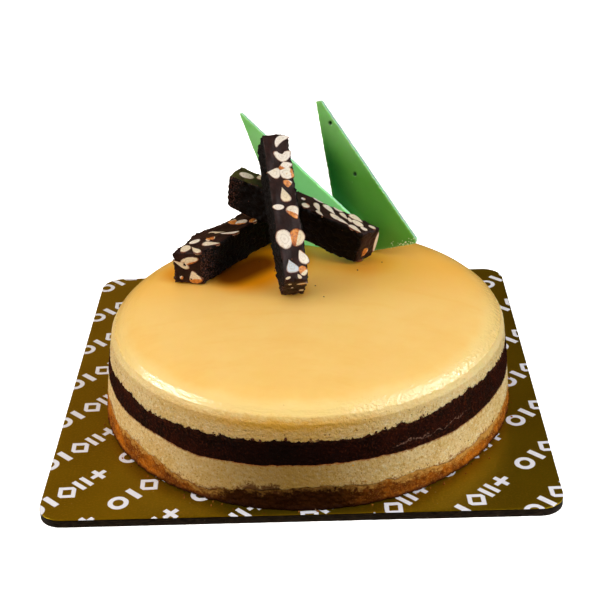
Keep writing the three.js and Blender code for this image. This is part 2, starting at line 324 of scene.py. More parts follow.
# The card's cut edge is a little ragged, and stands back from the film by less than half a millimetre.
PLY_SETBACK = 0.3 * MM
PLY_TEAR = 0.28 * MM
for point in board.data.vertices:
    if point.co.z > BOARD_TOP - LIP * 0.9 or max(abs(point.co.x), abs(point.co.y)) < BOARD_SIDE * 0.4:
        continue
    outward = Vector((point.co.x, point.co.y, 0)).normalized()
    ply = sum(point.co.z > line + 0.05 * MM for line in PLY_LINES)
    torn = noise.noise(point.co * 420 + Vector((0, 0, ply * 7.3))) + 0.5 * noise.noise(point.co * 1600)
    point.co -= outward * (PLY_SETBACK * (0.55 if ply % 2 else 0.25) + abs(torn) * PLY_TEAR)

# The print: diagonal rows, each a repeat of rings, bars, diamonds and crosses as high as the row.
ROW_TURN = math.radians(47)
ROW_PITCH = 26.0  # millimetres, as are the sizes below
SLOT_WIDTH = 10.0
SLOTS = 6  # the last one in each repeat stays empty
ROW_SHIFT = 31.0
STROKE = 1.25  # half the width of a printed line
SOFT_EDGE = 0.12
RING_RADIUS = 3.9  # to the middle of its line
DIAMOND_REACH = 4.6
BAR_REACH = 4.9  # from a shape's middle to its end
TWIN_REACH = 4.6
TWIN_GAP = 2.3  # half the distance between the twin bars
CROSS_REACH = 4.4


def mask_group(name, **inputs):
    """An empty node group with these inputs that puts out a mask."""
    group = bpy.data.node_groups.new(name, "ShaderNodeTree")
    for label, kind in inputs.items():
        group.interface.new_socket(label.title(), in_out="INPUT", socket_type="NodeSocket" + kind)
    group.interface.new_socket("Mask", in_out="OUTPUT", socket_type="NodeSocketFloat")
    return group, group.nodes.new("NodeGroupInput").outputs, group.nodes.new("NodeGroupOutput").inputs


def printed_shapes():
    """A group that turns a place on the board, in millimetres, into a mask of the printed shapes."""
    group, given, wanted = mask_group("printed_shapes", place="Vector")
    turned = node(group, "VectorRotate", given["Place"], rotation_type="Z_AXIS")
    turned.inputs["Angle"].default_value = -ROW_TURN
    axes = node(group, "SeparateXYZ", turned.outputs[0])

    def less(value, amount):
        return calc(group, "SUBTRACT", value, amount)

    def cell(value, pitch):
        """Which cell of this pitch a value is in, and how far it is from the cell's middle."""
        number = calc(group, "FLOOR", calc(group, "DIVIDE", value, pitch))
        return number, less(value, times(group, calc(group, "ADD", number, 0.5), pitch))

    def line(distance):
        return less(calc(group, "ABSOLUTE", distance), STROKE)

    def both(first, second):
        return calc(group, "MAXIMUM", first, second)

    def bar(reach_along, reach_across):
        return both(less(wide, reach_along), less(high, reach_across))

    row, across = cell(axes.outputs[1], ROW_PITCH)
    slot, along = cell(total(group, axes.outputs[0], (row, ROW_SHIFT)), SLOT_WIDTH)
    turn = calc(group, "FLOORED_MODULO", slot, float(SLOTS))
    wide = calc(group, "ABSOLUTE", along)
    high = calc(group, "ABSOLUTE", across)
    from_middle = calc(group, "SQRT", total(group, 0.0, (along, along), (across, across)))
    ring = line(less(from_middle, RING_RADIUS))
    diamond = line(times(group, less(calc(group, "ADD", wide, high), DIAMOND_REACH), 0.8))
    upright = bar(STROKE * 1.25, BAR_REACH)
    cross = calc(group, "MINIMUM", bar(CROSS_REACH, STROKE), bar(STROKE, CROSS_REACH))
    twin = both(line(less(wide, TWIN_GAP)), less(high, TWIN_REACH))
    ink = 0.0
    for number, shape in enumerate((ring, upright, diamond, twin, cross)):
        here = calc(group, "COMPARE", turn, float(number), 0.4)
        ink = total(group, ink, (here, between(group, shape, SOFT_EDGE, -SOFT_EDGE)))
    plug(group, wanted[0], ink)
    return group


def specks():
    """A group of scattered round specks: how many to the metre, how much of a cell each fills at most,
    and what share of the cells has one."""
    group, given, wanted = mask_group("specks", place="Vector", scale="Float", size="Float", share="Float")
    cells = node(group, "TexVoronoi", given["Place"], None, given["Scale"])
    draws = node(group, "SeparateColor", cells.outputs["Color"])
    there = calc(group, "LESS_THAN", draws.outputs[0], given["Share"])
    radius = times(group, given["Size"], total(group, 0.3, (draws.outputs[1], 0.7)))
    spot = between(group, cells.outputs["Distance"], radius, times(group, radius, 0.45))
    plug(group, wanted[0], times(group, spot, there))
    return group


PRINTED_SHAPES = printed_shapes()
SPECKS = specks()


def use(tree, group, *feeds):
    """One of the groups above, placed in a material with its own values."""
    made = node(tree, "Group", node_tree=group)
    for socket, feed in zip(made.inputs, feeds):
        plug(tree, socket, feed)
    return made.outputs[0]


def moved(tree, place, **changes):
    """A place with a pattern's location, rotation or scale."""
    made = node(tree, "Mapping", place)
    for name, value in changes.items():
        made.inputs[name.title()].default_value = value
    return made.outputs[0]


def mottled(tree, cloud, low, high, first, second):
    """Two colours, turning from the first to the second as a cloud goes from low to high."""
    return blend(tree, between(tree, cloud, low, high), paint(*first), paint(*second))


def coats(tree, colour, *layers):
    """A colour with further ones laid over it in turn, each [mask, strength, colour]."""
    for mask, strength, shade in layers:
        share = mask if strength == 1 else times(tree, mask, strength)
        fixed = not isinstance(shade, bpy.types.NodeSocket)
        colour = blend(tree, share, colour, paint(*shade) if fixed else shade)
    return colour


def bump(tree, skin, height, depth):
    """Relief whose full height is depth, in metres."""
    made = node(tree, "Bump")
    made.inputs["Distance"].default_value = depth
    plug(tree, made.inputs["Height"], height)
    plug(tree, skin.inputs["Normal"], made.outputs[0])


def gold_film():
    made, tree, skin, place = material("gold_film", roughness=0.36)
    ink = use(tree, PRINTED_SHAPES, moved(tree, place, scale=(1 / MM, 1 / MM, 1 / MM)))
    fine = grain(tree, place, 900.0, 2.0, 0.5)
    dust = use(tree, SPECKS, place, 260.0, 0.16, 0.2)
    fibre = use(tree, SPECKS, place, 75.0, 0.07, 0.25)
    dusty = calc(tree, "MAXIMUM", times(tree, dust, 0.5), fibre)
    gold = coats(
        tree,
        mottled(tree, grain(tree, place, 14.0, 4.0, 0.6), 0.3, 0.7, (134, 112, 3), (152, 129, 8)),
        (between(tree, fine, 0.4, 0.8), 1, (164, 130, 20)),
        (dusty, 1, (190, 172, 112)),
        (ink, 1, (228, 234, 250)),
    )
    plug(tree, skin.inputs["Base Color"], gold)
    plug(tree, skin.inputs["Metallic"], total(tree, 0.92, (ink, -0.92)))
    bump(tree, skin, total(tree, fine, (dusty, 0.7)), 0.05 * MM)
    return made


def dark_card():
    made, tree, skin, place = material("dark_card", roughness=0.85)
    plies = grain(tree, moved(tree, place, scale=(1, 1, 6)), 260.0, 4.0, 0.7)
    card = coats(
        tree,
        mottled(tree, plies, 0.35, 0.7, (16, 13, 12), (62, 50, 36)),
        (use(tree, SPECKS, place, 500.0, 0.2, 0.12), 1, (120, 108, 90)),
    )
    plug(tree, skin.inputs["Base Color"], card)
    bump(tree, skin, grain(tree, place, 1500.0, 3.0, 0.6), 0.2 * MM)
    return made


board.data.materials.append(gold_film())
board.data.materials.append(dark_card())
for face in board.data.polygons:
    face.material_index = 0 if face.center.z > BOARD_TOP - LIP else 1
finish_piece(board, "gold_card", "board", smooth=35)


# ---- Layers of the cake --------------------------------------------------------------------------
# The four layers are baked and set in one tin, so they share one side. Their borders are uneven: each
# piece is a finer copy of its solid, whose side is cut small enough for pores, crumbs and torn edges.
CAKE_SPOKES = 108  # facets round each solid layer
FINE_CUTS = 7
SIDE_SHARE = 0.93  # what lies beyond this share of the radius belongs to the side
SIDE_START = 0.97  # share of that from which the side's relief begins


def cake_centre(piece):
    """The axis of one layer, which stands a little further towards +X than the one below it."""
    xs = [point.co.x for point in piece.data.vertices]
    ys = [point.co.y for point in piece.data.vertices]
    return Vector(((min(xs) + max(xs)) / 2, (min(ys) + max(ys)) / 2, 0))


def finer_copy(solid, name):
    """A copy of a layer's solid, merged and cut finer, with its borders measured at every spoke."""
    piece = bpy.data.objects.new(name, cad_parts[solid].data.copy())
    piece.data.materials.clear()
    bpy.context.scene.collection.objects.link(piece)
    edit(piece, lambda: bpy.ops.mesh.remove_doubles(threshold=0.01 * MM))
    centre = cake_centre(piece)
    rim = max((point.co - centre).to_2d().length for point in piece.data.vertices)
    borders = {}
    for point in piece.data.vertices:
        out = point.co - centre
        if out.to_2d().length < SIDE_SHARE * rim:
            continue
        spoke = round(math.atan2(out.y, out.x) / (2 * math.pi) * CAKE_SPOKES) % CAKE_SPOKES
        low, high = borders.get(spoke, (point.co.z, point.co.z))
        borders[spoke] = (min(low, point.co.z), max(high, point.co.z))

    def cut_side():
        outer = rim * SIDE_SHARE
        pick(piece, lambda a, b: min((a - centre).to_2d().length, (b - centre).to_2d().length) > outer)
        bpy.ops.mesh.subdivide(number_cuts=FINE_CUTS)

    edit(piece, cut_side)
    return piece, centre, rim, borders


def border_at(borders, angle, which):
    """The height of a layer's lower or upper border at an angle, between its two nearest spokes."""
    place = (angle / (2 * math.pi) * CAKE_SPOKES) % CAKE_SPOKES
    spoke = int(place)
    share = place - spoke
    return borders[spoke][which] * (1 - share) + borders[(spoke + 1) % CAKE_SPOKES][which] * share


def ragged(angle, seed, swell, torn):
    """How far a border strays at an angle: slow swells, with crumbs and tears on them."""
    ring = Vector((math.cos(angle), math.sin(angle), seed))
    slow = noise.noise(ring * 6.0) * 0.9 + noise.noise(ring * 17.0) * 0.7
    quick = noise.noise(ring * 40.0) * 0.45 + max(0.0, noise.noise(ring * 95.0) - 0.3) * 1.2
    quick += max(0.0, noise.noise(ring * 27.0) - 0.22) * 2.2
    return slow * swell + quick * torn


# How far each border strays from its solid's: its seed, the same for both its layers, and how much it
# swells and is torn, in metres.
CRUMB_BORDER = (3.1, 2.2 * MM, 1.2 * MM)
CHOCOLATE_LOW_BORDER = (8.4, 0.5 * MM, 0.5 * MM)
CHOCOLATE_HIGH_BORDER = (5.7, 0.9 * MM, 2.1 * MM)
BORDER_DEPTH = 5 * MM  # how far from a border the layer moves with it
DARK_SIDE = math.radians(264)  # the front, where the side is given its darkest painted shade
SHADE_FALL = 10  # how quickly that painted shade fades on either side of it


def model_side(piece, centre, rim, borders, low_border, high_border, relief):
    """Roughens a layer's side and its borders, and notes how far each point is from them."""
    names = ("to_low", "to_high", "shade_side")
    marks = [piece.data.attributes.new(name, "FLOAT", "POINT").data for name in names]
    for point, low_note, high_note, side_note in zip(piece.data.vertices, *marks):
        out = (point.co - centre).to_2d()
        if out.length < SIDE_SHARE * rim * SIDE_START:
            continue
        angle = math.atan2(out.y, out.x)
        # How much painted shade this point of the side gets, darkest at the front.
        side_note.value = max(0.0, math.cos(angle - DARK_SIDE)) ** SHADE_FALL
        above = point.co.z - border_at(borders, angle, 0)
        below = border_at(borders, angle, 1) - point.co.z
        low_note.value = max(0.0, above) / MM
        high_note.value = max(0.0, below) / MM
        lift = 0.0
        if low_border:
            lift += ragged(angle, *low_border) * max(0.0, 1 - above / BORDER_DEPTH)
        if high_border:
            lift += ragged(angle, *high_border) * max(0.0, 1 - below / BORDER_DEPTH)
        point.co.z += lift
        push = relief(Vector((angle * rim, 0, point.co.z)) / MM, above / MM, below / MM)
        outward = Vector((out.x, out.y, 0)).normalized()
        point.co += outward * push * MM


# ---- Crumb base ----------------------------------------------------------------------------------
# Crushed biscuit and butter pressed into the tin, browned at its edge. It is smeared up into the
# filling in places, with painted glints low down and painted shade at its foot and on the front.
def crumb_relief(place, above, below):
    ring = place * 0.35
    lumps = noise.noise(Vector((ring.x, 0, ring.z * 1.4))) * 0.6
    crumbs = noise.noise(Vector((place.x * 0.9, 3, place.z * 1.0))) * 0.45
    foot = 0.5 * max(0.0, 1 - above / 2.5)
    return lumps + crumbs + foot - 0.25


def noted(tree, *names):
    """What a mesh's points were noted with, by name."""
    return [node(tree, "Attribute", attribute_name=name).outputs["Fac"] for name in names]


def baked_crumb():
    made, tree, skin, place = material("baked_crumb", roughness=0.6, specular_ior_level=0.06)
    # baked carries the painted shade on the front of the side.
    height, depth, baked = noted(tree, "to_low", "to_high", "shade_side")
    streaks = grain(tree, moved(tree, place, scale=(1, 1, 0.45)), 260.0, 4.0, 0.6)
    patches = grain(tree, place, 90.0, 4.0, 0.6)
    lumps = grain(tree, place, 420.0, 4.0, 0.65)
    fine = grain(tree, place, 1200.0, 3.0, 0.7)
    # Pale specks low on the crumb are painted glints.
    painted_glints = times(tree, use(tree, SPECKS, place, 420.0, 0.16, 0.12), between(tree, height, 2.6, 0.8))

    # The filling runs down into the crumb in places, less far on the right.
    rightward = between(tree, node(tree, "SeparateXYZ", place).outputs[0], 0.03, 0.08)
    feathered = total(tree, depth, (lumps, -7.0), (fine, -5.0), (rightward, -1.2), (patches, 11.0))
    # Cream that ran down, darker on the front as painted shade.
    shaded_cream = blend(tree, baked, paint(220, 168, 84), paint(120, 84, 36))
    brown = coats(
        tree,
        mottled(tree, patches, 0.36, 0.64, (122, 60, 6), (194, 110, 18)),
        (between(tree, streaks, 0.5, 0.75), 0.5, (196, 120, 34)),
        (between(tree, lumps, 0.5, 0.36), 0.5, (90, 38, 4)),
        (between(tree, fine, 0.5, 0.7), 0.7, (214, 150, 66)),
        (between(tree, fine, 0.46, 0.3), 0.35, (84, 36, 6)),
        # Painted shade at the foot, where the crumb meets the board.
        (between(tree, height, 2.4, 0.0), 1, (64, 26, 3)),
        # Painted shade on the front of the crumb.
        (calc(tree, "MINIMUM", times(tree, baked, 1.3), 0.95), 1, (26, 6, 1)),
        (between(tree, feathered, 2.1, -0.9), 0.75, shaded_cream),
        (painted_glints, 1, (226, 196, 160)),
    )
    plug(tree, skin.inputs["Base Color"], brown)
    plug(tree, skin.inputs["Roughness"], between(tree, patches, -0.6, 1.0))
    bump(tree, skin, total(tree, lumps, (streaks, 1.0), (fine, 1.0)), 0.22 * MM)
    return made


crumb_base = finer_copy("crumb_base", "crumb_crust")
model_side(*crumb_base, None, CRUMB_BORDER, crumb_relief)
crumb_base[0].data.materials.append(baked_crumb())
finish_piece(crumb_base[0], "biscuit_crumb", "crumb_base", smooth=60)


# ---- Lower filling -------------------------------------------------------------------------------
# Baked cream cheese filling, pale and finely porous at its cut side, with the strokes of the knife
# that ran round the tin and a few specks of yolk. Crumbs from the base are drawn up into it.
LOWER_CREAM = {
    "ground": ((236, 202, 130), (250, 226, 168)),
    "curd": ((206, 156, 66), (255, 244, 204)),
    # painted shade on the front of the side: its strength and colour
    "baked": (0.85, (158, 124, 54)),
    "pits": (146, 100, 32),
    "pores": (0.5, (150, 108, 40)),
    "yolk": ((120.0, 0.13, 0.16), (232, 168, 42)),
}


def filling_relief(place, above, below):
    stroke = noise.noise(Vector((place.x * 0.9, 0, place.z * 0.25))) * 0.1
    curd = noise.noise(Vector((place.x * 0.6, 5, place.z * 0.75))) * 0.2
    painted_pit_shade = noise.noise(Vector((place.x * 1.1, 9, place.z * 1.1)))
    return stroke + curd - 0.7 * max(0.0, painted_pit_shade - 0.28)


def soften(skin, weight, radii):
    """Lets light through the outermost millimetres, red, green and blue each its own depth."""
    skin.inputs["Subsurface Weight"].default_value = weight
    skin.inputs["Subsurface Radius"].default_value = radii
    skin.inputs["Subsurface Scale"].default_value = MM


def porous_cream(tree, place, patches, strokes, baked, look):
    """The colour and the relief of cut filling, with the curd and the pores that they come from."""
    curd = grain(tree, place, 620.0, 5.0, 0.75)
    pits = use(tree, SPECKS, place, 480.0, 0.3, 0.42)
    pores = grain(tree, place, 1250.0, 2.0, 0.6)
    yolk_sizes, yolk_colour = look["yolk"]
    cream = coats(
        tree,
        mottled(tree, patches, 0.3, 0.7, *look["ground"]),
        (between(tree, strokes, 0.5, 0.75), 0.6, (228, 190, 112)),
        (between(tree, curd, 0.52, 0.68), 1, look["curd"][0]),
        (between(tree, curd, 0.47, 0.34), 1, look["curd"][1]),
        # painted shade on the front of the side
        (baked, *look["baked"]),
        (pits, 0.75, look["pits"]),
        (between(tree, pores, 0.55, 0.7), *look["pores"]),
        (use(tree, SPECKS, place, *yolk_sizes), 0.8, yolk_colour),
    )
    return cream, total(tree, curd, (pores, -0.8), (pits, -0.8)), curd, pores


def porous_filling():
    made, tree, skin, place = material("lower_cheesecake", roughness=0.62, specular_ior_level=0.2)
    above, below, baked = noted(tree, "to_low", "to_high", "shade_side")
    drawn_up = moved(tree, place, scale=(1, 1, 0.4), rotation=(0, 0.3, 0))
    strokes = grain(tree, drawn_up, 520.0, 3.0, 0.6)
    patches = grain(tree, place, 70.0, 4.0, 0.6)
    cream, relief, curd, pores = porous_cream(tree, place, patches, strokes, baked, LOWER_CREAM)
    smeared = total(tree, above, (curd, -9.0), (patches, -14.0), (pores, -4.0))
    stained = total(tree, below, (curd, -3.0))
    # Crumbs drawn up into the filling, darker on the front as painted shade.
    crumb_brown = blend(tree, baked, paint(166, 98, 34), paint(62, 28, 6))
    cream = coats(
        tree,
        cream,
        (between(tree, smeared, -11.6, -14.6), 0.9, crumb_brown),
        (between(tree, stained, -0.6, -1.6), 0.8, (150, 78, 32)),
    )
    plug(tree, skin.inputs["Base Color"], cream)
    soften(skin, 0.2, (2.4, 1.2, 0.5))
    bump(tree, skin, relief, 0.3 * MM)
    return made


lower_filling = finer_copy("lower_filling", "lower_cheesecake")
model_side(*lower_filling, CRUMB_BORDER, CHOCOLATE_LOW_BORDER, filling_relief)
lower_filling[0].data.materials.append(porous_filling())
finish_piece(lower_filling[0], "cheesecake", "lower_filling", smooth=60)


# ---- Chocolate layer -----------------------------------------------------------------------------
# A band of dark, moist chocolate cake. Its upper edge is torn and crumbly, and the knife has dragged
# a faint smear across it on the right.
def chocolate_relief(place, above, below):
    crumbs = noise.noise(Vector((place.x * 0.75, 2, place.z * 0.9))) * 0.35
    fine = noise.noise(Vector((place.x * 1.9, 4, place.z * 2.0))) * 0.2
    return crumbs + fine + 0.1


SMEAR_TURNS = (math.radians(-68), math.radians(-40))  # where the smear begins and ends, from +X
SMEAR_HEIGHT = 3.0  # where it begins, in millimetres above the layer's lower border
SMEAR_SLOPE = 7.0  # millimetres that it rises for each radian
SMEAR_WANDER = (6.0, 8.0)  # millimetres that it wanders up or down, slowly and quickly


def polar(tree, place):
    """How far a place is from the Z axis, and its angle round it."""
    axes = node(tree, "SeparateXYZ", place).outputs
    flat = node(tree, "CombineXYZ", axes[0], axes[1], 0.0).outputs[0]
    reach = node(tree, "VectorMath", flat, operation="LENGTH").outputs["Value"]
    return reach, calc(tree, "ARCTAN2", axes[1], axes[0])


def dark_chocolate():
    made, tree, skin, place = material("dark_chocolate_cake", roughness=0.55, specular_ior_level=0.05)
    above, below, baked = noted(tree, "to_low", "to_high", "shade_side")
    patches = grain(tree, place, 90.0, 4.0, 0.65)
    crumbs = grain(tree, place, 900.0, 3.0, 0.6)
    _, turn = polar(tree, moved(tree, place, location=-CAKE_MIDDLE))
    wander = (patches, SMEAR_WANDER[0]), (grain(tree, place, 200.0, 2.0, 0.5), SMEAR_WANDER[1])
    start = SMEAR_SLOPE * SMEAR_TURNS[0] - SMEAR_HEIGHT - sum(SMEAR_WANDER) / 2
    off_smear = total(tree, start, (above, 1.0), (turn, -SMEAR_SLOPE), *wander)
    smear = between(tree, calc(tree, "ABSOLUTE", off_smear), 0.7, 0.1)
    smear = times(tree, smear, between(tree, crumbs, 0.38, 0.6))
    smear = times(tree, smear, between(tree, turn, SMEAR_TURNS[0], SMEAR_TURNS[0] + 0.05))
    smear = times(tree, smear, between(tree, turn, SMEAR_TURNS[1], SMEAR_TURNS[1] - 0.1))
    crumbly = times(tree, between(tree, below, 2.4, 0.0), between(tree, crumbs, 0.4, 0.7))
    dark = coats(
        tree,
        mottled(tree, patches, 0.38, 0.7, (29, 9, 5), (57, 20, 9)),
        (between(tree, crumbs, 0.52, 0.72), 1, (92, 42, 20)),
        (crumbly, 0.7, (96, 50, 24)),
        (between(tree, above, 0.7, 0.0), 0.75, (92, 40, 18)),
        (between(tree, crumbs, 0.42, 0.3), 1, (12, 4, 3)),
        (use(tree, SPECKS, place, 160.0, 0.07, 0.12), 0.7, (190, 176, 180)),
        # Painted shade on the front.
        (baked, 0.85, (14, 5, 3)),
        (smear, 0.55, (176, 138, 118)),
    )
    plug(tree, skin.inputs["Base Color"], dark)
    plug(tree, skin.inputs["Roughness"], between(tree, patches, -0.3, 1.0))
    bump(tree, skin, calc(tree, "ADD", crumbs, grain(tree, place, 2600.0, 2.0, 0.6)), 0.5 * MM)
    return made


chocolate_layer = finer_copy("chocolate_layer", "chocolate_band")
model_side(*chocolate_layer, CHOCOLATE_LOW_BORDER, CHOCOLATE_HIGH_BORDER, chocolate_relief)
chocolate_layer[0].data.materials.append(dark_chocolate())
finish_piece(chocolate_layer[0], "chocolate_cake", "chocolate_layer", smooth=60)


# ---- Golden top ----------------------------------------------------------------------------------
# The upper filling: porous and pale at the side like the lower one, then a browned line, a pale
# rounded shoulder and a smooth golden top with a satin gloss, wiped in wide arcs by a palette knife.
CAKE_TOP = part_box("upper_filling")[1].z
SKIN_EDGE = -6.4  # where the smooth skin ends on the side, in millimetres above the top
PALE_FROM = 91.0  # millimetres from the axis to where the golden colour begins to fade
PALE_TO = 99.0
ARC_CENTRE = (0.02, 0.16, 0)  # minus the place that the palette knife turned about
UPPER_CREAM = {
    "ground": ((238, 206, 134), (250, 228, 170)),
    "curd": ((208, 158, 64), (255, 242, 204)),
    # painted shade on the front of the side: its strength and colour
    "baked": (0.68, (204, 158, 62)),
    "pits": (150, 104, 34),
    "pores": (0.42, (156, 114, 42)),
    "yolk": ((100.0, 0.15, 0.3), (234, 172, 48)),
}

# Painted shade on the top beside and under the bars. Each is the start and the end of a line in
# millimetres, how far from it the painted shade begins and ends to fade, and how strong it is.
PAINTED_BAR_SHADE = [
    ((-28, 22), (-10, 40), (12.0, 30.0), 1.0),
    ((-64, 24), (-38, 62), (5.0, 17.0), 0.8),
    ((-1, -1), (-4, 12), (5.0, 11.0), 0.4),
    ((6, 43), (38, 31), (7.0, 22.0), 0.5),
]
PAINTED_CONTACT_SHADOW = ((-37, 19), (-22, 34), (5.0, 17.0), 0.9)  # the darkest painted shadow, on the right of the left bar


def top_relief(place, above, below):
    height = place.z - CAKE_TOP / MM - SKIN_EDGE
    porous = max(0.0, min(1.0, 0.5 - height / 2.5))
    return filling_relief(place, above, below) * porous


def beside(tree, place, start, end, fading, strength):
    """A mask round a line over the top, which fades at a distance from it."""
    run = (Vector(end) - Vector(start)) * MM
    off_start = node(tree, "VectorMath", place, (start[0] * MM, start[1] * MM, 0), operation="SUBTRACT")
    flat = node(tree, "VectorMath", off_start.outputs[0], (1, 1, 0), operation="MULTIPLY").outputs[0]
    along = (run.x / run.length_squared, run.y / run.length_squared, 0)
    share = node(tree, "VectorMath", flat, along, operation="DOT_PRODUCT").outputs["Value"]
    nearest = node(tree, "VectorMath", (run.x, run.y, 0), operation="SCALE")
    plug(tree, nearest.inputs["Scale"], node(tree, "Clamp", share).outputs[0])
    off = node(tree, "VectorMath", flat, nearest.outputs[0], operation="DISTANCE").outputs["Value"]
    return times(tree, between(tree, off, fading[1] * MM, fading[0] * MM), strength)


def golden_top(centre):
    made, tree, skin, coordinates = material("golden_top", roughness=0.24)
    place = moved(tree, coordinates, location=(-centre.x, -centre.y, -CAKE_TOP))
    axes = node(tree, "SeparateXYZ", place).outputs
    reach, turn = polar(tree, place)
    # baked carries the painted shade on the front of the side.
    above, baked = noted(tree, "to_low", "shade_side")
    patches = grain(tree, place, 30.0, 4.0, 0.6)
    lumps = grain(tree, place, 330.0, 4.0, 0.7)

    # The golden face with the arcs that a palette knife left, which pales towards the shoulder.
    arc_reach, arc_turn = polar(tree, moved(tree, place, location=ARC_CENTRE))
    arc_place = node(tree, "CombineXYZ", arc_reach, times(tree, arc_turn, 0.03), 0.0).outputs[0]
    arcs = grain(tree, arc_place, 95.0, 4.0, 0.6)
    rearward = total(tree, axes[1], (patches, 0.03))
    painted_bar_shade = 0.0
    for shade in PAINTED_BAR_SHADE:
        painted_bar_shade = calc(tree, "MAXIMUM", painted_bar_shade, beside(tree, coordinates, *shade))
    spread = total(tree, -7.0, (reach, 1 / MM), (patches, 14.0))
    paling = total(tree, 0.3, (between(tree, axes[1], 0.02, -0.06), 0.7))
    gold = coats(
        tree,
        mottled(tree, patches, 0.3, 0.7, (248, 206, 120), (250, 212, 130)),
        (between(tree, arcs, 0.5, 0.78), 0.4, (245, 194, 98)),
        (between(tree, arcs, 0.48, 0.25), 0.4, (251, 214, 134)),
        # Painted shade: the gold deepens towards the back.
        (between(tree, rearward, 0.0, 0.06), 0.75, (246, 186, 70)),
        # Painted shade of the bars.
        (painted_bar_shade, 1, (244, 158, 12)),
        # Painted contact shadow on the right of the left bar.
        (beside(tree, coordinates, *PAINTED_CONTACT_SHADOW), 1, (92, 36, 2)),
        (times(tree, paling, between(tree, spread, PALE_FROM, PALE_TO)), 1, (252, 224, 148)),
        (use(tree, SPECKS, place, 95.0, 0.045, 0.2), 1, (150, 96, 30)),
    )

    # The porous side below the skin, with crumbs of chocolate at its foot.
    drawn_up = moved(tree, place, scale=(1, 1, 0.45), rotation=(0, 0.4, 0))
    strokes = grain(tree, drawn_up, 480.0, 3.0, 0.6)
    cream, rough, curd, _ = porous_cream(tree, place, patches, strokes, baked, UPPER_CREAM)
    torn = total(tree, above, (lumps, -9.0), (curd, -4.0))
    edge = total(tree, -3.2 - SKIN_EDGE, (axes[2], 1 / MM), (patches, 3.0), (curd, 3.4))  # millimetres
    # Painted light: the side is paler just below the skin, less so on the shaded front.
    painted_upper_light = times(tree, between(tree, edge, -6.0, -1.0), total(tree, 0.65, (baked, -0.4)))
    cream = coats(
        tree,
        cream,
        (between(tree, torn, -6.2, -6.7), 0.9, (84, 40, 16)),
        (painted_upper_light, 1, (254, 230, 160)),
    )

    # The skin's edge, browned in speckles where the two meet.
    smooth = between(tree, edge, -2.2, 1.2)
    speckled = between(tree, total(tree, edge, (lumps, 8.0)), 5.0, 0.6)
    toasted = times(tree, between(tree, edge, -7.5, -3.5), speckled)
    # The browning is strongest on the front, where it also stands for painted shade.
    toasted = times(tree, toasted, total(tree, 0.1, (baked, 0.75)))
    colour = coats(tree, blend(tree, smooth, cream, gold), (toasted, 1, (226, 170, 38)))
    plug(tree, skin.inputs["Base Color"], colour)
    plug(tree, skin.inputs["Roughness"], total(tree, 0.66, (smooth, -0.42)))
    soften(skin, 0.2, (2.4, 1.2, 0.5))

    # The skin's own relief: faint arcs, with bubbles and comb streaks round the shoulder.
    bubbly = total(tree, 0.2, (between(tree, axes[0], 0.0, 0.04), 0.9))
    bubbles = total(tree, -0.75, (grain(tree, place, 520.0, 2.0, 0.5), 1.5))
    blisters = times(tree, times(tree, bubbles, bubbly), between(tree, edge, 6.0, 2.5))
    comb_place = node(tree, "CombineXYZ", reach, axes[2], times(tree, turn, 0.02)).outputs[0]
    combed = total(tree, -0.3, (grain(tree, comb_place, 900.0, 2.0, 0.6), 0.6))
    combed = times(tree, combed, between(tree, edge, 7.0, 3.0))
    wiped = total(tree, combed, (blisters, 1.0), (arcs, 0.08), (patches, 0.16))
    bump(tree, skin, node(tree, "Mix", smooth, None, rough, wiped).outputs[0], 0.4 * MM)
    return made


upper_filling = finer_copy("upper_filling", "golden_top")
model_side(*upper_filling, CHOCOLATE_HIGH_BORDER, None, top_relief)
upper_filling[0].data.materials.append(golden_top(upper_filling[1]))
finish_piece(upper_filling[0], "baked_topping", "upper_filling", smooth=60)


# ---- Bars of nut bark ----------------------------------------------------------------------------
# Three bars sawn from a slab of dark chocolate full of roasted nuts, which lie across each other. The
# sawn faces and ends are satin and show the cut nuts; the other faces are the slab's rough outsides.

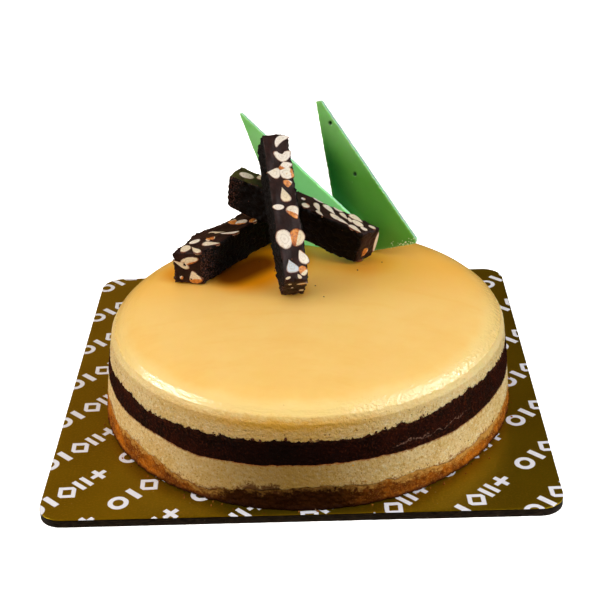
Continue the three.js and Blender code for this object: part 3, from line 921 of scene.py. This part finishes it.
# Each bar has the middle of its near end, its turn and its length, width and depth, then how far its
# near and its far end slant for each millimetre across and for each one up, how much its near end is
# worn, a bulge as [along, reach, height], and how far from the near end it crumbles and is tinged olive.
# "palest" is how pale its nuts are at least, and "strays" how many are scattered on its lower face.
# A nut is [along, across, length, width, turn in degrees, kind, skin], in millimetres on its face; its
# skin is left on from one side by that share.
BARS = {
    "bar_left": {
        "near": (-59.9, 10.4, 68.9),
        "turn": (0, 0, 54.3),
        "size": (70, 15.4, 19.6),
        "slants": (-0.44, 0.1),
        "rakes": (0, 0),
        "taper": 0,
        "bulge": (24, 9, 4.2),
        "crumbling": 20,
        "olive": 0,
        "palest": 0.4,
        "face": [
            (3.2, 3.2, 8, 4.6, 15, "oval", 0.1), (5, -2.2, 9.5, 4.4, 62, "drop", 0),
            (12.5, 4.4, 7.5, 3.4, -8, "oval", 0.05), (15.8, -4.4, 9.5, 4.2, -52, "wedge", 0),
            (18.4, -0.2, 3.6, 2.2, 40, "oval", 0.6), (21.4, -1, 3.6, 2.6, 0, "wedge", 0.8),
            (28.7, 1.8, 9.5, 3.4, -52, "drop", 0), (32, -5, 10.5, 3.2, -42, "crescent", 0),
            (44.5, 3, 7, 4.2, 20, "wedge", 0.7), (46.5, -1.4, 8, 4, -20, "oval", 0.3),
            (52, -5.6, 5, 3.4, -10, "oval", 0.7), (60, 2, 8, 4.6, 30, "drop", 0.2),
        ],
        "near_end": [
            (4.6, -1.2, 9.6, 3.8, 108, "oval", 0.25), (2.2, 3.4, 9.4, 3.4, 60, "drop", 0.15),
            (-5.4, -3.4, 7.5, 5.4, 20, "wedge", 0.4), (-6, 3.4, 2.2, 1.6, 0, "oval", 0.6),
        ],
        "far_end": [(3, -2, 7, 4, 30, "oval", 0.2), (-5, 3, 6, 4, -60, "drop", 0)],
        "strays": 6,
    },
    "bar_cross": {
        "near": (-35.4, 58.8, 95.9),
        "turn": (3.3, 18.2, -20.8),
        "size": (84, 14.2, 21),
        "slants": (0.1, 0.42),
        "rakes": (-0.16, 0),
        "taper": 0,
        "bulge": (0, 1, 0),
        "crumbling": 12,
        "olive": 24,
        "palest": 0.6,
        "face": [
            (6, -0.6, 8.5, 5.5, 20, "oval", 0.1), (14, 3.4, 6, 4, 0, "drop", 0.3),
            (40.6, 1.6, 2.6, 2, 0, "oval", 0.3), (44.2, -3.8, 4.6, 4.8, 0, "oval", 0.2),
            (48, 5.6, 7.4, 2, -6, "crescent", 0), (50.5, -1, 8.6, 3.6, -52, "drop", 0),
            (56.6, 2.2, 10, 3.6, -30, "wedge", 0), (62, -2.8, 7.4, 3.2, -14, "oval", 0),
            (67.4, -3.8, 8, 3.2, -12, "drop", 0), (72, 4.6, 9, 3.4, -14, "wedge", 0),
            (74.4, 0.6, 7.6, 3.2, -14, "oval", 0.05), (75, -4.9, 8, 3.4, -14, "wedge", 0),
            (82.4, 3, 4.4, 2.6, 0, "oval", 0.1), (53.4, -4.9, 5.4, 2, -24, "wedge", 0),
            (60.4, 5.6, 6.4, 2, -8, "crescent", 0), (65.4, 2.4, 6.4, 2.4, -28, "wedge", 0),
            (69.6, 0.9, 4.2, 1.8, -42, "oval", 0), (79.2, -1.8, 4.4, 2, -10, "oval", 0),
        ],
        "near_end": [(4, 3, 6, 4, 30, "drop", 0.1), (-4, -2, 8, 4, 70, "oval", 0.2)],
        "far_end": [(4.4, -1.2, 6.2, 3.8, -12, "wedge", 0.9), (-0.5, 5.9, 14, 2.2, 4, "oval", 0.1)],
        "strays": 7,
    },
    "bar_front": {
        "near": (-1.4, -12.2, 66.5),
        "turn": (4.3, -38.1, 99),
        "size": (90, 15.2, 18.4),
        "slants": (0, 0),
        "rakes": (0, 0),
        "taper": 0.16,
        "bulge": (0, 1, 0),
        "crumbling": 6,
        "olive": 0,
        "palest": 0.3,
        "face": [
            (85.4, -3.2, 10, 5.4, 128, "crescent", 0), (76.6, -2.8, 9.4, 7.4, -90, "notched", 0),
            (65.4, 3.6, 7.4, 7.6, 75, "drop", 0), (69.6, -3, 4.4, 7.2, 20, "wedge", 0.35),
            (64.6, -3.6, 7.6, 7.6, 0, "rough", 0.3), (58.3, -3.3, 4.4, 4.2, 180, "wedge", 0.85),
            (51.8, -0.6, 9, 6, 8, "drop", 0), (44.2, 3.8, 3.4, 5.6, 0, "oval", 0.1),
            (40.6, -4, 8.4, 5.6, 200, "wedge", 0.5), (24.8, 3.2, 11.6, 7.6, 8, "oval", 0.12),
            (25.4, -3.7, 10.4, 7.2, -14, "oval", 0.55), (13.6, -5, 8.6, 4.4, 18, "wedge", 0.15),
            (8.8, 1.6, 8.2, 7.0, 8, "pearl", 0), (5.6, -4.2, 5.6, 4.2, 0, "oval", 0.6),
            (1.9, 4.4, 1.5, 2.6, 20, "oval", 0), (2.4, -1.6, 3, 1.8, 30, "wedge", 0),
        ],
        "near_end": [
            (5.2, -3.4, 2, 5.4, 5, "oval", 0.45), (5.4, 3.2, 1.6, 1.8, 0, "oval", 0.2),
            (-2.8, -4, 1.8, 2.4, 0, "oval", 0.3), (1, 1.6, 1.4, 1.4, 0, "oval", 0.3),
        ],
        "far_end": [(4, -2, 6, 4, 50, "oval", 0.2), (-4, 2, 7, 4, 20, "drop", 0)],
        "strays": 9,
    },
}
BAR_ROUNDING = 1.3  # millimetres, as are the values below
PINCH = 0.05  # share of its section by which a bar is thinner in places
WIDTH_RIPPLE = (0.31, 0.4)  # radians to the millimetre
DEPTH_RIPPLE = (0.23, 0.5)
TAPER_REACH = 0.25  # share of the length over which a worn end narrows
CHIP = 3.2  # how deep its edges are broken away
NUT_PROUD = 0.25
NUT_SWELL = (1.08, 1.2)  # by how much longer and wider a nut is cut than it is named
NUT_SINK = 1.2
NUT_RIM = -0.05  # how proud its rim is
BAR_CUTS = (120, 20, 26)  # along a bar, across it and down
PALEST = {"crescent": 0.9, "notched": 0.95, "rough": 0.8, "pearl": 1.5}  # how white these are at least
bar_draw = random.Random(17)


def end_shift(bar, share, y, z):
    """How far along a bar the slanting cuts of its ends move a point."""
    slant, rake = (bar[cut][0] + (bar[cut][1] - bar[cut][0]) * share for cut in ("slants", "rakes"))
    return y * slant + z * rake


def face_height(bar, along, across):
    """How far from a bar's middle its cut faces lie at one place."""
    ripple = math.cos((along - bar["size"][0] / 2) * DEPTH_RIPPLE[0] + across * DEPTH_RIPPLE[1])
    return bar["size"][2] / 2 * (1 - PINCH * (0.5 + 0.5 * ripple))


def bar_body(name, bar):
    """A bar lying along X from its near end, cut fine enough for its crumbs and saw marks."""
    length, width, depth = bar["size"]
    body = block(name, bar["size"])
    edit(body, lambda: bpy.ops.mesh.bevel(offset=BAR_ROUNDING, segments=3))
    for axis, cuts in enumerate(BAR_CUTS):

        def part():
            pick(body, lambda a, b: abs(a[axis] - b[axis]) > 0.7 * bar["size"][axis])
            bpy.ops.mesh.subdivide(number_cuts=cuts)

        edit(body, part)
    core = [side / 2 - BAR_ROUNDING for side in bar["size"]]
    crumbly = body.data.attributes.new("crumbly", "FLOAT", "POINT").data
    olive = body.data.attributes.new("olive", "FLOAT", "POINT").data
    bulge_at, bulge_reach, bulge_height = bar["bulge"]
    for face in body.data.polygons:
        face.material_index = 1 if abs(face.normal.y) > 0.6 else 0
    for index, point in enumerate(body.data.vertices):
        x, y, z = point.co
        along = x + length / 2
        crumbly[index].value = max(0.0, 1 - along / bar["crumbling"])
        if bar["olive"] and z > depth * 0.3:
            olive[index].value = max(0.0, 1 - along / bar["olive"])
        inner = Vector([max(-reach, min(reach, value)) for value, reach in zip(point.co, core)])
        outward = (point.co - inner).normalized()
        y *= 1 - PINCH * (0.5 + 0.5 * math.sin(x * WIDTH_RIPPLE[0] + z * WIDTH_RIPPLE[1]))
        z *= 1 - PINCH * (0.5 + 0.5 * math.cos(x * DEPTH_RIPPLE[0] + y * DEPTH_RIPPLE[1]))
        share = x / length + 0.5
        y *= 1 - bar["taper"] * max(0, 1 - share / TAPER_REACH)
        if y > 0:
            bulge = bulge_height * math.exp(-(((along - bulge_at) / bulge_reach) ** 2))
            y += bulge * (0.6 + z / depth)
        rough = abs(outward.y)
        crumbs = noise.noise(point.co * 0.4) * 1.0 + noise.noise(point.co * 1.1 + Vector((9, 9, 9))) * 0.7
        sawn = noise.noise(Vector((x * 0.12, y * 0.9, z * 0.9))) * 0.2 + abs(outward.x) * crumbs * 0.4
        on_edge = min(1.0, 3.4 * (1 - max(abs(value) for value in outward)))
        chipped = max(0.0, noise.noise(point.co * 0.33 + Vector((4, 4, 4))) + 0.08) * CHIP * on_edge
        x += end_shift(bar, share, y, z)
        eaten = crumbly[index].value * noise.noise(point.co * 0.8 + Vector((2, 7, 1))) * rough
        push = outward * (crumbs * rough + sawn * (1 - rough) - chipped + eaten)
        point.co = Vector((x + length / 2, y, z)) + push
    return body


def nut_outline(kind, x, y):
    """The outline of a nut of unit size, as a change to the disc that it starts from."""
    if kind in ("drop", "pearl"):
        return x, 1.3 * y * (1 - x) / 2 + 0.1 * x
    if kind == "crescent":
        return x, 0.62 * y + 0.75 * x * x - 0.35
    if kind == "notched":
        notch = 0.55 * max(0.0, 1 - abs(x + 0.1) / 0.4) * max(0.0, y)
        return x, 0.8 * y + 0.6 * x * x - 0.3 - notch
    if kind == "wedge":
        return x * (1 - 0.18 * y), y * (0.95 - 0.55 * x)
    if kind == "rough":
        ragged = 1 + 0.35 * noise.noise(Vector((x * 1.7, y * 1.7, 4)))
        return x * ragged, y * ragged
    return x * (1 + 0.06 * y), y * (1 + 0.1 * x)


def set_nut(blank, bar, side, nut):
    """Sets one cut nut in a face of a bar: a flat slice, a little proud, with its skin on one side."""
    along, across, nut_length, nut_width, turn, kind, skin_share = nut
    nut_length *= NUT_SWELL[0]
    nut_width *= NUT_SWELL[1]
    piece = blank.copy()
    piece.data = blank.data.copy()
    bpy.context.scene.collection.objects.link(piece)
    for name in ("skin", "pale", "from_core"):
        piece.data.attributes.new(name, "FLOAT", "POINT")
    notes = piece.data.attributes
    skin_side = bar_draw.uniform(0, 2 * math.pi)
    pale = max(bar_draw.random(), PALEST.get(kind, 0), bar["palest"])
    turn = math.radians(turn)
    for index, point in enumerate(piece.data.vertices):
        x, y, z = point.co
        from_side = x * math.cos(skin_side) + y * math.sin(skin_side)
        notes["skin"].data[index].value = max(0.0, min(1.0, (from_side - 1 + 2.1 * skin_share) * 4))
        notes["pale"].data[index].value = pale
        rim = math.hypot(x, y)
        notes["from_core"].data[index].value = rim
        x, y = nut_outline(kind, x, y)
        x, y = x * nut_length / 2, y * nut_width / 2
        x, y = x * math.cos(turn) - y * math.sin(turn), x * math.sin(turn) + y * math.cos(turn)
        x, y = x + along, y + across
        out = NUT_PROUD * (1 - 0.25 * rim * rim) if z > 0 else -NUT_SINK
        if rim > 0.98:
            out = NUT_RIM
        if side in ("face", "below"):
            flip = 1 if side == "face" else -1
            point.co = Vector((x, flip * y, flip * (face_height(bar, x, flip * y) + out)))
        else:
            flip = 1 if side == "near_end" else -1
            place = Vector((0 if flip == 1 else bar["size"][0], y, flip * x))
            place.x += -flip * out + end_shift(bar, 0 if flip == 1 else 1, place.y, place.z)
            point.co = place
    piece.data.materials.clear()
    return piece


def sawn_chocolate():
    made, tree, skin, place = material("sawn_chocolate", roughness=0.5, specular_ior_level=0.16)
    cloud = grain(tree, place, 160.0, 4.0, 0.6)
    fine = grain(tree, place, 1500.0, 3.0, 0.6)
    olive = between(tree, noted(tree, "olive")[0], 0.1, 0.7)
    dark = coats(
        tree,
        mottled(tree, cloud, 0.35, 0.7, (27, 11, 10), (47, 24, 22)),
        (between(tree, fine, 0.62, 0.8), 1, (76, 44, 38)),
        (times(tree, olive, between(tree, cloud, 0.3, 0.6)), 1, (70, 72, 32)),
        (use(tree, SPECKS, place, 420.0, 0.2, 0.08), 1, (124, 74, 52)),
    )
    plug(tree, skin.inputs["Base Color"], dark)
    bump(tree, skin, calc(tree, "ADD", cloud, fine), 0.18 * MM)
    return made


def rough_chocolate():
    made, tree, skin, place = material("rough_chocolate", roughness=0.6, specular_ior_level=0.12)
    cloud = grain(tree, place, 240.0, 4.0, 0.7)
    fine = grain(tree, place, 1300.0, 3.0, 0.65)
    crumbly = noted(tree, "crumbly")[0]
    torn = between(tree, total(tree, fine, (crumbly, 0.12)), 0.6, 0.72)
    dark = coats(
        tree,
        mottled(tree, cloud, 0.45, 0.75, (4, 1, 1), (17, 7, 5)),
        (between(tree, fine, 0.6, 0.8), 1, (52, 28, 22)),
        (times(tree, torn, between(tree, crumbly, 0.0, 0.5)), 1, (108, 70, 60)),
        (use(tree, SPECKS, place, 520.0, 0.22, 0.1), 0.8, (132, 92, 84)),
    )
    plug(tree, skin.inputs["Base Color"], dark)
    bump(tree, skin, calc(tree, "ADD", cloud, fine), 0.6 * MM)
    return made


def roasted_nut():
    made, tree, skin, place = material("roasted_nut", roughness=0.38)
    skin_on, pale, from_core = noted(tree, "skin", "pale", "from_core")
    veins = grain(tree, place, 420.0, 4.0, 0.7)
    rings = calc(tree, "SINE", total(tree, times(tree, veins, 14.0), (from_core, 16.0)))
    toasted = mottled(tree, veins, 0.4, 0.65, (236, 152, 60), (170, 86, 30))
    nut = coats(
        tree,
        blend(tree, pale, paint(228, 208, 160), paint(250, 243, 234)),
        (between(tree, pale, 1.0, 1.4), 1, (206, 218, 228)),
        (between(tree, veins, 0.58, 0.74), 1, (220, 178, 124)),
        (between(tree, rings, 0.5, 1.0), 0.4, (176, 150, 124)),
        (between(tree, total(tree, -0.45, (skin_on, 1.0), (veins, 0.9)), 0.3, 0.6), 1, toasted),
        (between(tree, total(tree, from_core, (veins, 0.24)), 0.96, 1.1), 1, (112, 52, 22)),
    )
    plug(tree, skin.inputs["Base Color"], nut)
    soften(skin, 0.15, (1.2, 0.8, 0.4))
    bump(tree, skin, total(tree, veins, (rings, 0.2)), 0.25 * MM)
    return made


def stray_nuts(bar):
    """The nuts of the cut face that is turned down, scattered at random."""
    length, width, _ = bar["size"]
    nuts = []
    for i in range(bar["strays"]):
        along = (i + 0.5 + bar_draw.uniform(-0.3, 0.3)) / bar["strays"] * length
        across = bar_draw.uniform(-0.27, 0.27) * width
        kind = bar_draw.choice(("oval", "drop", "wedge", "crescent"))
        sizes = (bar_draw.uniform(6, 10), bar_draw.uniform(3.4, 5), bar_draw.uniform(-70, 70))
        nuts.append((along, across, *sizes, kind, 0.2))
    return nuts


nut_blank = add_primitive("uv_sphere", "nut_blank", segments=20, ring_count=8, radius=1)
BARK = [sawn_chocolate(), rough_chocolate(), roasted_nut()]
for bar_name, bar in BARS.items():
    body = bar_body("nut_" + bar_name, bar)
    bar["below"] = stray_nuts(bar)
    nuts = []
    for side in ("face", "near_end", "far_end", "below"):
        nuts += [set_nut(nut_blank, bar, side, nut) for nut in bar[side]]
    for piece in (body, *nuts):
        for finish in BARK:
            piece.data.materials.append(finish)
    for nut in nuts:
        for face in nut.data.polygons:
            face.material_index = len(BARK) - 1
    select(body, *nuts)
    bpy.ops.object.join()
    lying = Euler([math.radians(angle) for angle in bar["turn"]], "XYZ").to_matrix().to_4x4()
    set_down = Matrix.Translation(Vector(bar["near"]) * MM) @ lying
    body.data.transform(set_down @ Matrix.Scale(MM, 4))
    finish_piece(body, "nut_bark", bar_name, smooth=50)
bpy.data.objects.remove(nut_blank)


# ---- Shards --------------------------------------------------------------------------------------
# Two broken sheets of green coloured chocolate, three millimetres thick or a little more, pushed into
# the cake behind the bars and leaning back. They are matt and paler at their broken edges, and the
# right one has two blind pits left by air bubbles.

# The foot is [x, y], the outline and the pits are [along, up] from it, in millimetres, and "deep" is
# how strongly painted shade darkens a shard's green.
SHARDS = {
    "shard_left": {
        "foot": (8, 52.9),
        "heading": -19.5,
        "lean": 8,
        "thickness": 3,
        "outline": [(-13.5, 0.3), (30, 0.3), (26.5, 18), (-44.4, 74), (-45.2, 73.8)],
        "pits": [],
        "deep": 0.0,
    },
    "shard_right": {
        "foot": (42, 45),
        "heading": -21.5,
        "lean": 8.5,
        "thickness": 3.5,
        "outline": [(-19, 0.3), (1.5, 0.3), (25.2, 7.6), (25.4, 10.3), (-33.6, 83), (-36.6, 82.4)],
        "pits": [(-27.6, 71.2), (-12, 43.6)],
        "deep": 1.0,
    },
}
SHARD_GRAIN = 0.45  # millimetres between the points of a shard's mesh
PIT_RADIUS = 1.15
PIT_DEPTH = 1.3
EDGE_TEAR = 0.28  # how far a broken edge strays
RIM_WIDTH = 1.6  # how far in from its broken edge a shard is chalky
BREAK_WIDTH = 0.7  # how far in that edge itself reaches
BREAK_INSET = 0.35  # how far it stays from the two flat faces
SHADE_LINE = (62, 0.5, 26)  # how high up the painted shade begins, how it falls along the shard, its fading
INNER_LINE = (6, 0.35, 18)  # how far along the deepest painted shade begins, how that falls, its fading
GLOW_START = -45  # along the left shard, where its painted glow begins
GLOW_FADING = 40
LEAST_GLOW = 0.25
GLOW_STRENGTH = 0.5  # how strongly the left shard glows, a painted glow for light shining through it


def inside_line(line, across, along):
    """How far inside a slanting line a place is: 0 on the line, 1 where its fading ends."""
    place, slant, fading = line
    return max(0.0, min(1.0, (place - across - slant * along) / fading))


def shard_sheet(name, shard):
    """A sheet standing on its foot, with its outline torn a little, its front face at Z 0."""
    corners = shard["outline"]
    thickness = shard["thickness"]
    sheet = add_primitive("circle", name, vertices=len(corners), fill_type="NOTHING")
    for point, (along, up) in zip(sheet.data.vertices, corners):
        point.co = (along, up, 0)
    edit(sheet, lambda: bpy.ops.mesh.subdivide(number_cuts=60))
    for point in sheet.data.vertices:
        if point.co.y < 0.5:
            continue
        torn = noise.noise(point.co * 0.35) + 0.6 * noise.noise(point.co * 1.1)
        point.co.x += torn * EDGE_TEAR

    def thicken():
        bpy.ops.mesh.edge_face_add()
        bpy.ops.mesh.extrude_region_move(TRANSFORM_OT_translate={"value": (0, 0, -thickness)})
        bpy.ops.mesh.select_all(action="SELECT")
        bpy.ops.mesh.normals_make_consistent(inside=False)

    edit(sheet, thicken)
    remesh = sheet.modifiers.new("even_mesh", "REMESH")
    remesh.mode = "VOXEL"
    remesh.voxel_size = SHARD_GRAIN
    bpy.ops.object.modifier_apply(modifier=remesh.name)
    names = ("rim", "broken", "deep", "inner", "painted_glow", "painted_pit_shade")
    for note in names:
        sheet.data.attributes.new(note, "FLOAT", "POINT")
    rim, broken, deep, inner, painted_glow, painted_pit_shade = (sheet.data.attributes[note].data for note in names)
    sides = zip(corners, corners[1:] + corners[:1])
    broken_edges = [ends for ends in sides if max(up for _, up in ends) > 1]  # all but the foot
    for index, point in enumerate(sheet.data.vertices):
        gap = min(distance_to_edge(point.co, *ends) for ends in broken_edges)
        along, up, out = point.co
        rim[index].value = max(0.0, 1 - gap / RIM_WIDTH)
        between_faces = -thickness + BREAK_INSET < out < -BREAK_INSET
        broken[index].value = 1.0 if gap < BREAK_WIDTH and between_faces else 0.0
        # Painted shade on the right shard, deepest near the bars.
        deep[index].value = shard["deep"] * inside_line(SHADE_LINE, up, along)
        inner[index].value = deep[index].value * inside_line(INNER_LINE, along, up)
        # A painted glow on the left shard, fading in along it.
        glow_along = max(LEAST_GLOW, min(1.0, (along - GLOW_START) / GLOW_FADING))
        painted_glow[index].value = (1 - shard["deep"]) * glow_along
        if out > -0.6:
            for pit_along, pit_up in shard["pits"]:
                off = math.hypot(along - pit_along, (up - pit_up) * 0.8)
                point.co.z -= PIT_DEPTH * max(0.0, 1 - (off / PIT_RADIUS) ** 2)
                painted_pit_shade[index].value = max(painted_pit_shade[index].value, min(1.0, 2.2 - 2 * off / PIT_RADIUS))
        wavy = noise.noise(point.co * 0.06) * 0.35 + noise.noise(point.co * 0.3) * 0.06
        point.co.z += wavy
    return sheet


def distance_to_edge(place, start, end):
    start, end = Vector(start), Vector(end)
    run = end - start
    share = max(0.0, min(1.0, (place.to_2d() - start).dot(run) / run.length_squared))
    return (place.to_2d() - start - run * share).length


def green_chocolate():
    made, tree, skin, place = material("green_chocolate", roughness=0.4, emission_strength=GLOW_STRENGTH)
    rim, broken, deep, inner, painted_glow, painted_pit_shade = noted(
        tree, "rim", "broken", "deep", "inner", "painted_glow", "painted_pit_shade"
    )
    cloud = grain(tree, place, 45.0, 4.0, 0.6)
    fine = grain(tree, place, 900.0, 3.0, 0.6)
    green = coats(
        tree,
        mottled(tree, cloud, 0.35, 0.65, (126, 196, 112), (140, 206, 130)),
        (between(tree, deep, 0.0, 1.0), 1, (88, 164, 60)),
        (between(tree, inner, 0.0, 1.0), 1, (2, 106, 26)),
        (times(tree, rim, between(tree, fine, 0.3, 0.7)), 0.6, (160, 208, 130)),
        (broken, 1, (178, 228, 204)),
        (use(tree, SPECKS, place, 130.0, 0.12, 0.12), 0.4, (176, 212, 170)),
        # Painted shade in the blind pits.
        (painted_pit_shade, 1, (6, 54, 26)),
    )
    plug(tree, skin.inputs["Base Color"], green)
    soften(skin, 0.8, (2.0, 4.0, 2.0))
    # The left shard glows a little: painted light where light would show through it.
    glow_mask = total(tree, painted_glow, (inner, 0.03))
    plug(tree, skin.inputs["Emission Color"], blend(tree, glow_mask, (0, 0, 0, 1), paint(118, 200, 122)))
    bump(tree, skin, calc(tree, "ADD", fine, cloud), 0.08 * MM)
    return made


GREEN = green_chocolate()
for shard_name, shard in SHARDS.items():
    sheet = shard_sheet("green_" + shard_name, shard)
    lean = math.radians(shard["lean"])
    foot = Vector((*shard["foot"], CAKE_TOP / MM + shard["thickness"] * math.sin(lean)))
    upright = Matrix.Rotation(math.pi / 2 - lean, 4, "X")
    turn = Matrix.Rotation(math.radians(shard["heading"]), 4, "Z")
    shard["set_up"] = Matrix.Translation(foot) @ (turn @ upright)
    sheet.data.transform(Matrix.Scale(MM, 4) @ shard["set_up"])
    sheet.data.materials.append(GREEN)
    finish_piece(sheet, "green_chocolate", shard_name, smooth=40)


# ---- Crumbs --------------------------------------------------------------------------------------
# What falls off while such a cake is cut and dressed: dark crumbs beside the bars and along the top
# of the chocolate layer, pale green splinters at the foot of the right shard, and biscuit crumbs
# on the board round the foot of the cake.
def crumb(blank, place, size):
    """One crumb, a knobbly copy of the blank, resting at a place in millimetres."""
    piece = blank.copy()
    piece.data = blank.data.copy()
    bpy.context.scene.collection.objects.link(piece)
    spin = Euler([crumb_draw.uniform(0, FULL_TURN) for _ in range(3)]).to_matrix()
    stretch = [crumb_draw.uniform(0.6, 1.2) for _ in range(3)]
    for point in piece.data.vertices:
        knob = 1 + 0.35 * noise.noise(point.co * 1.8 + Vector(place))
        shape = Vector([a * b for a, b in zip(point.co, stretch)]) * size / 2 * knob
        point.co = (spin @ shape + Vector(place)) * MM
    return piece


def scatter(name, finish, slot, places):
    """One joined piece of crumbs, one at each [place, size]."""
    crumbs = [crumb(crumb_blank, place, size) for place, size in places]
    select(*crumbs)
    bpy.ops.object.join()
    crumbs[0].name = name
    crumbs[0].data.materials.append(finish)
    finish_piece(crumbs[0], slot, smooth=80)


def crumb_finish(name, dark, light):
    made, tree, skin, place = material(name, roughness=0.7, specular_ior_level=0.1)
    mixed = grain(tree, place, 700.0, 3.0, 0.6)
    plug(tree, skin.inputs["Base Color"], mottled(tree, mixed, 0.35, 0.65, dark, light))
    bump(tree, skin, mixed, 0.2 * MM)
    return made


def strewn(layer, low, high, count, smallest, largest):
    """Places on a layer's side between two heights over its lower border, each with a crumb's size."""
    heights = layer.data.attributes["to_low"].data
    near = [p.co.copy() for p, height in zip(layer.data.vertices, heights) if low < height.value < high]
    places = []
    for _ in range(count):
        place = crumb_draw.choice(near) * PRESSED_IN / MM
        places.append((place, smallest + (largest - smallest) * crumb_draw.random() ** 2))
    return places


FULL_TURN = 6.28  # radians
PRESSED_IN = 0.997  # share of its distance from the middle at which a crumb sits in a side
TOP_MM = CAKE_TOP / MM
FOOT_RADIUS = 110.3  # millimetres, where the nearest crumbs lie on the board
FOOT_CRUMBS = 70
SPLINTERS = 30
SPLINTER_END = 24.5  # millimetres along the right shard, as far as its splinters lie
EDGE_START, EDGE_HEIGHT = SHARDS["shard_right"]["outline"][1]  # where its lower edge leaves the foot
EDGE_RISE = 0.31  # how steeply that edge rises
DARK_CRUMBS_ON_TOP = [(-13, 24), (9.5, 4.5), (14, -8.5), (-38, 31), (2.5, 30), (33, 22), (-22, 36), (47, 31)]
crumb_draw = random.Random(5)
crumb_blank = add_primitive("ico_sphere", "crumb_blank", subdivisions=2, radius=1)
dark = crumb_finish("dark_crumb", (34, 13, 7), (84, 40, 20))
fallen = [((x, y, TOP_MM + 0.1), crumb_draw.uniform(0.5, 1.2)) for x, y in DARK_CRUMBS_ON_TOP]
torn_off = strewn(upper_filling[0], 0.0, 0.9, 90, 0.8, 2.4)
torn_off += strewn(upper_filling[0], 1.0, 3.0, 26, 0.3, 0.8)
scatter("dark_crumbs", dark, "chocolate_cake", fallen + torn_off)
baked = crumb_finish("biscuit_crumbs", (112, 58, 16), (176, 110, 44))
dragged = strewn(lower_filling[0], 0.4, 2.4, 90, 0.5, 1.5)
foot = []
for _ in range(FOOT_CRUMBS):
    angle = crumb_draw.uniform(0, 2 * math.pi)
    reach = FOOT_RADIUS + abs(crumb_draw.gauss(0, 2.2))
    middle = CAKE_MIDDLE / MM
    spot = (middle.x + reach * math.cos(angle), middle.y + reach * math.sin(angle), BOARD_TOP / MM + 0.2)
    if max(abs(spot[0]), abs(spot[1])) < BOARD_SIDE / MM / 2 - 1:
        foot.append((spot, crumb_draw.uniform(0.4, 1.2)))
scatter("biscuit_crumbs", baked, "biscuit_crumb", dragged + foot)
splinters = crumb_finish("green_splinters", (176, 220, 150), (232, 240, 196))
at_shard = []
for _ in range(SPLINTERS):
    along = SPLINTER_END - abs(crumb_draw.gauss(0, 9))
    lower_edge = EDGE_HEIGHT + EDGE_RISE * max(0.0, along - EDGE_START)
    up = lower_edge + abs(crumb_draw.gauss(0.5, 1.6))
    spot = SHARDS["shard_right"]["set_up"] @ Vector((along, up, 0.35))
    at_shard.append((tuple(spot), crumb_draw.uniform(0.35, 0.95)))
scatter("green_splinters", splinters, "green_chocolate", at_shard)
bpy.data.objects.remove(crumb_blank)
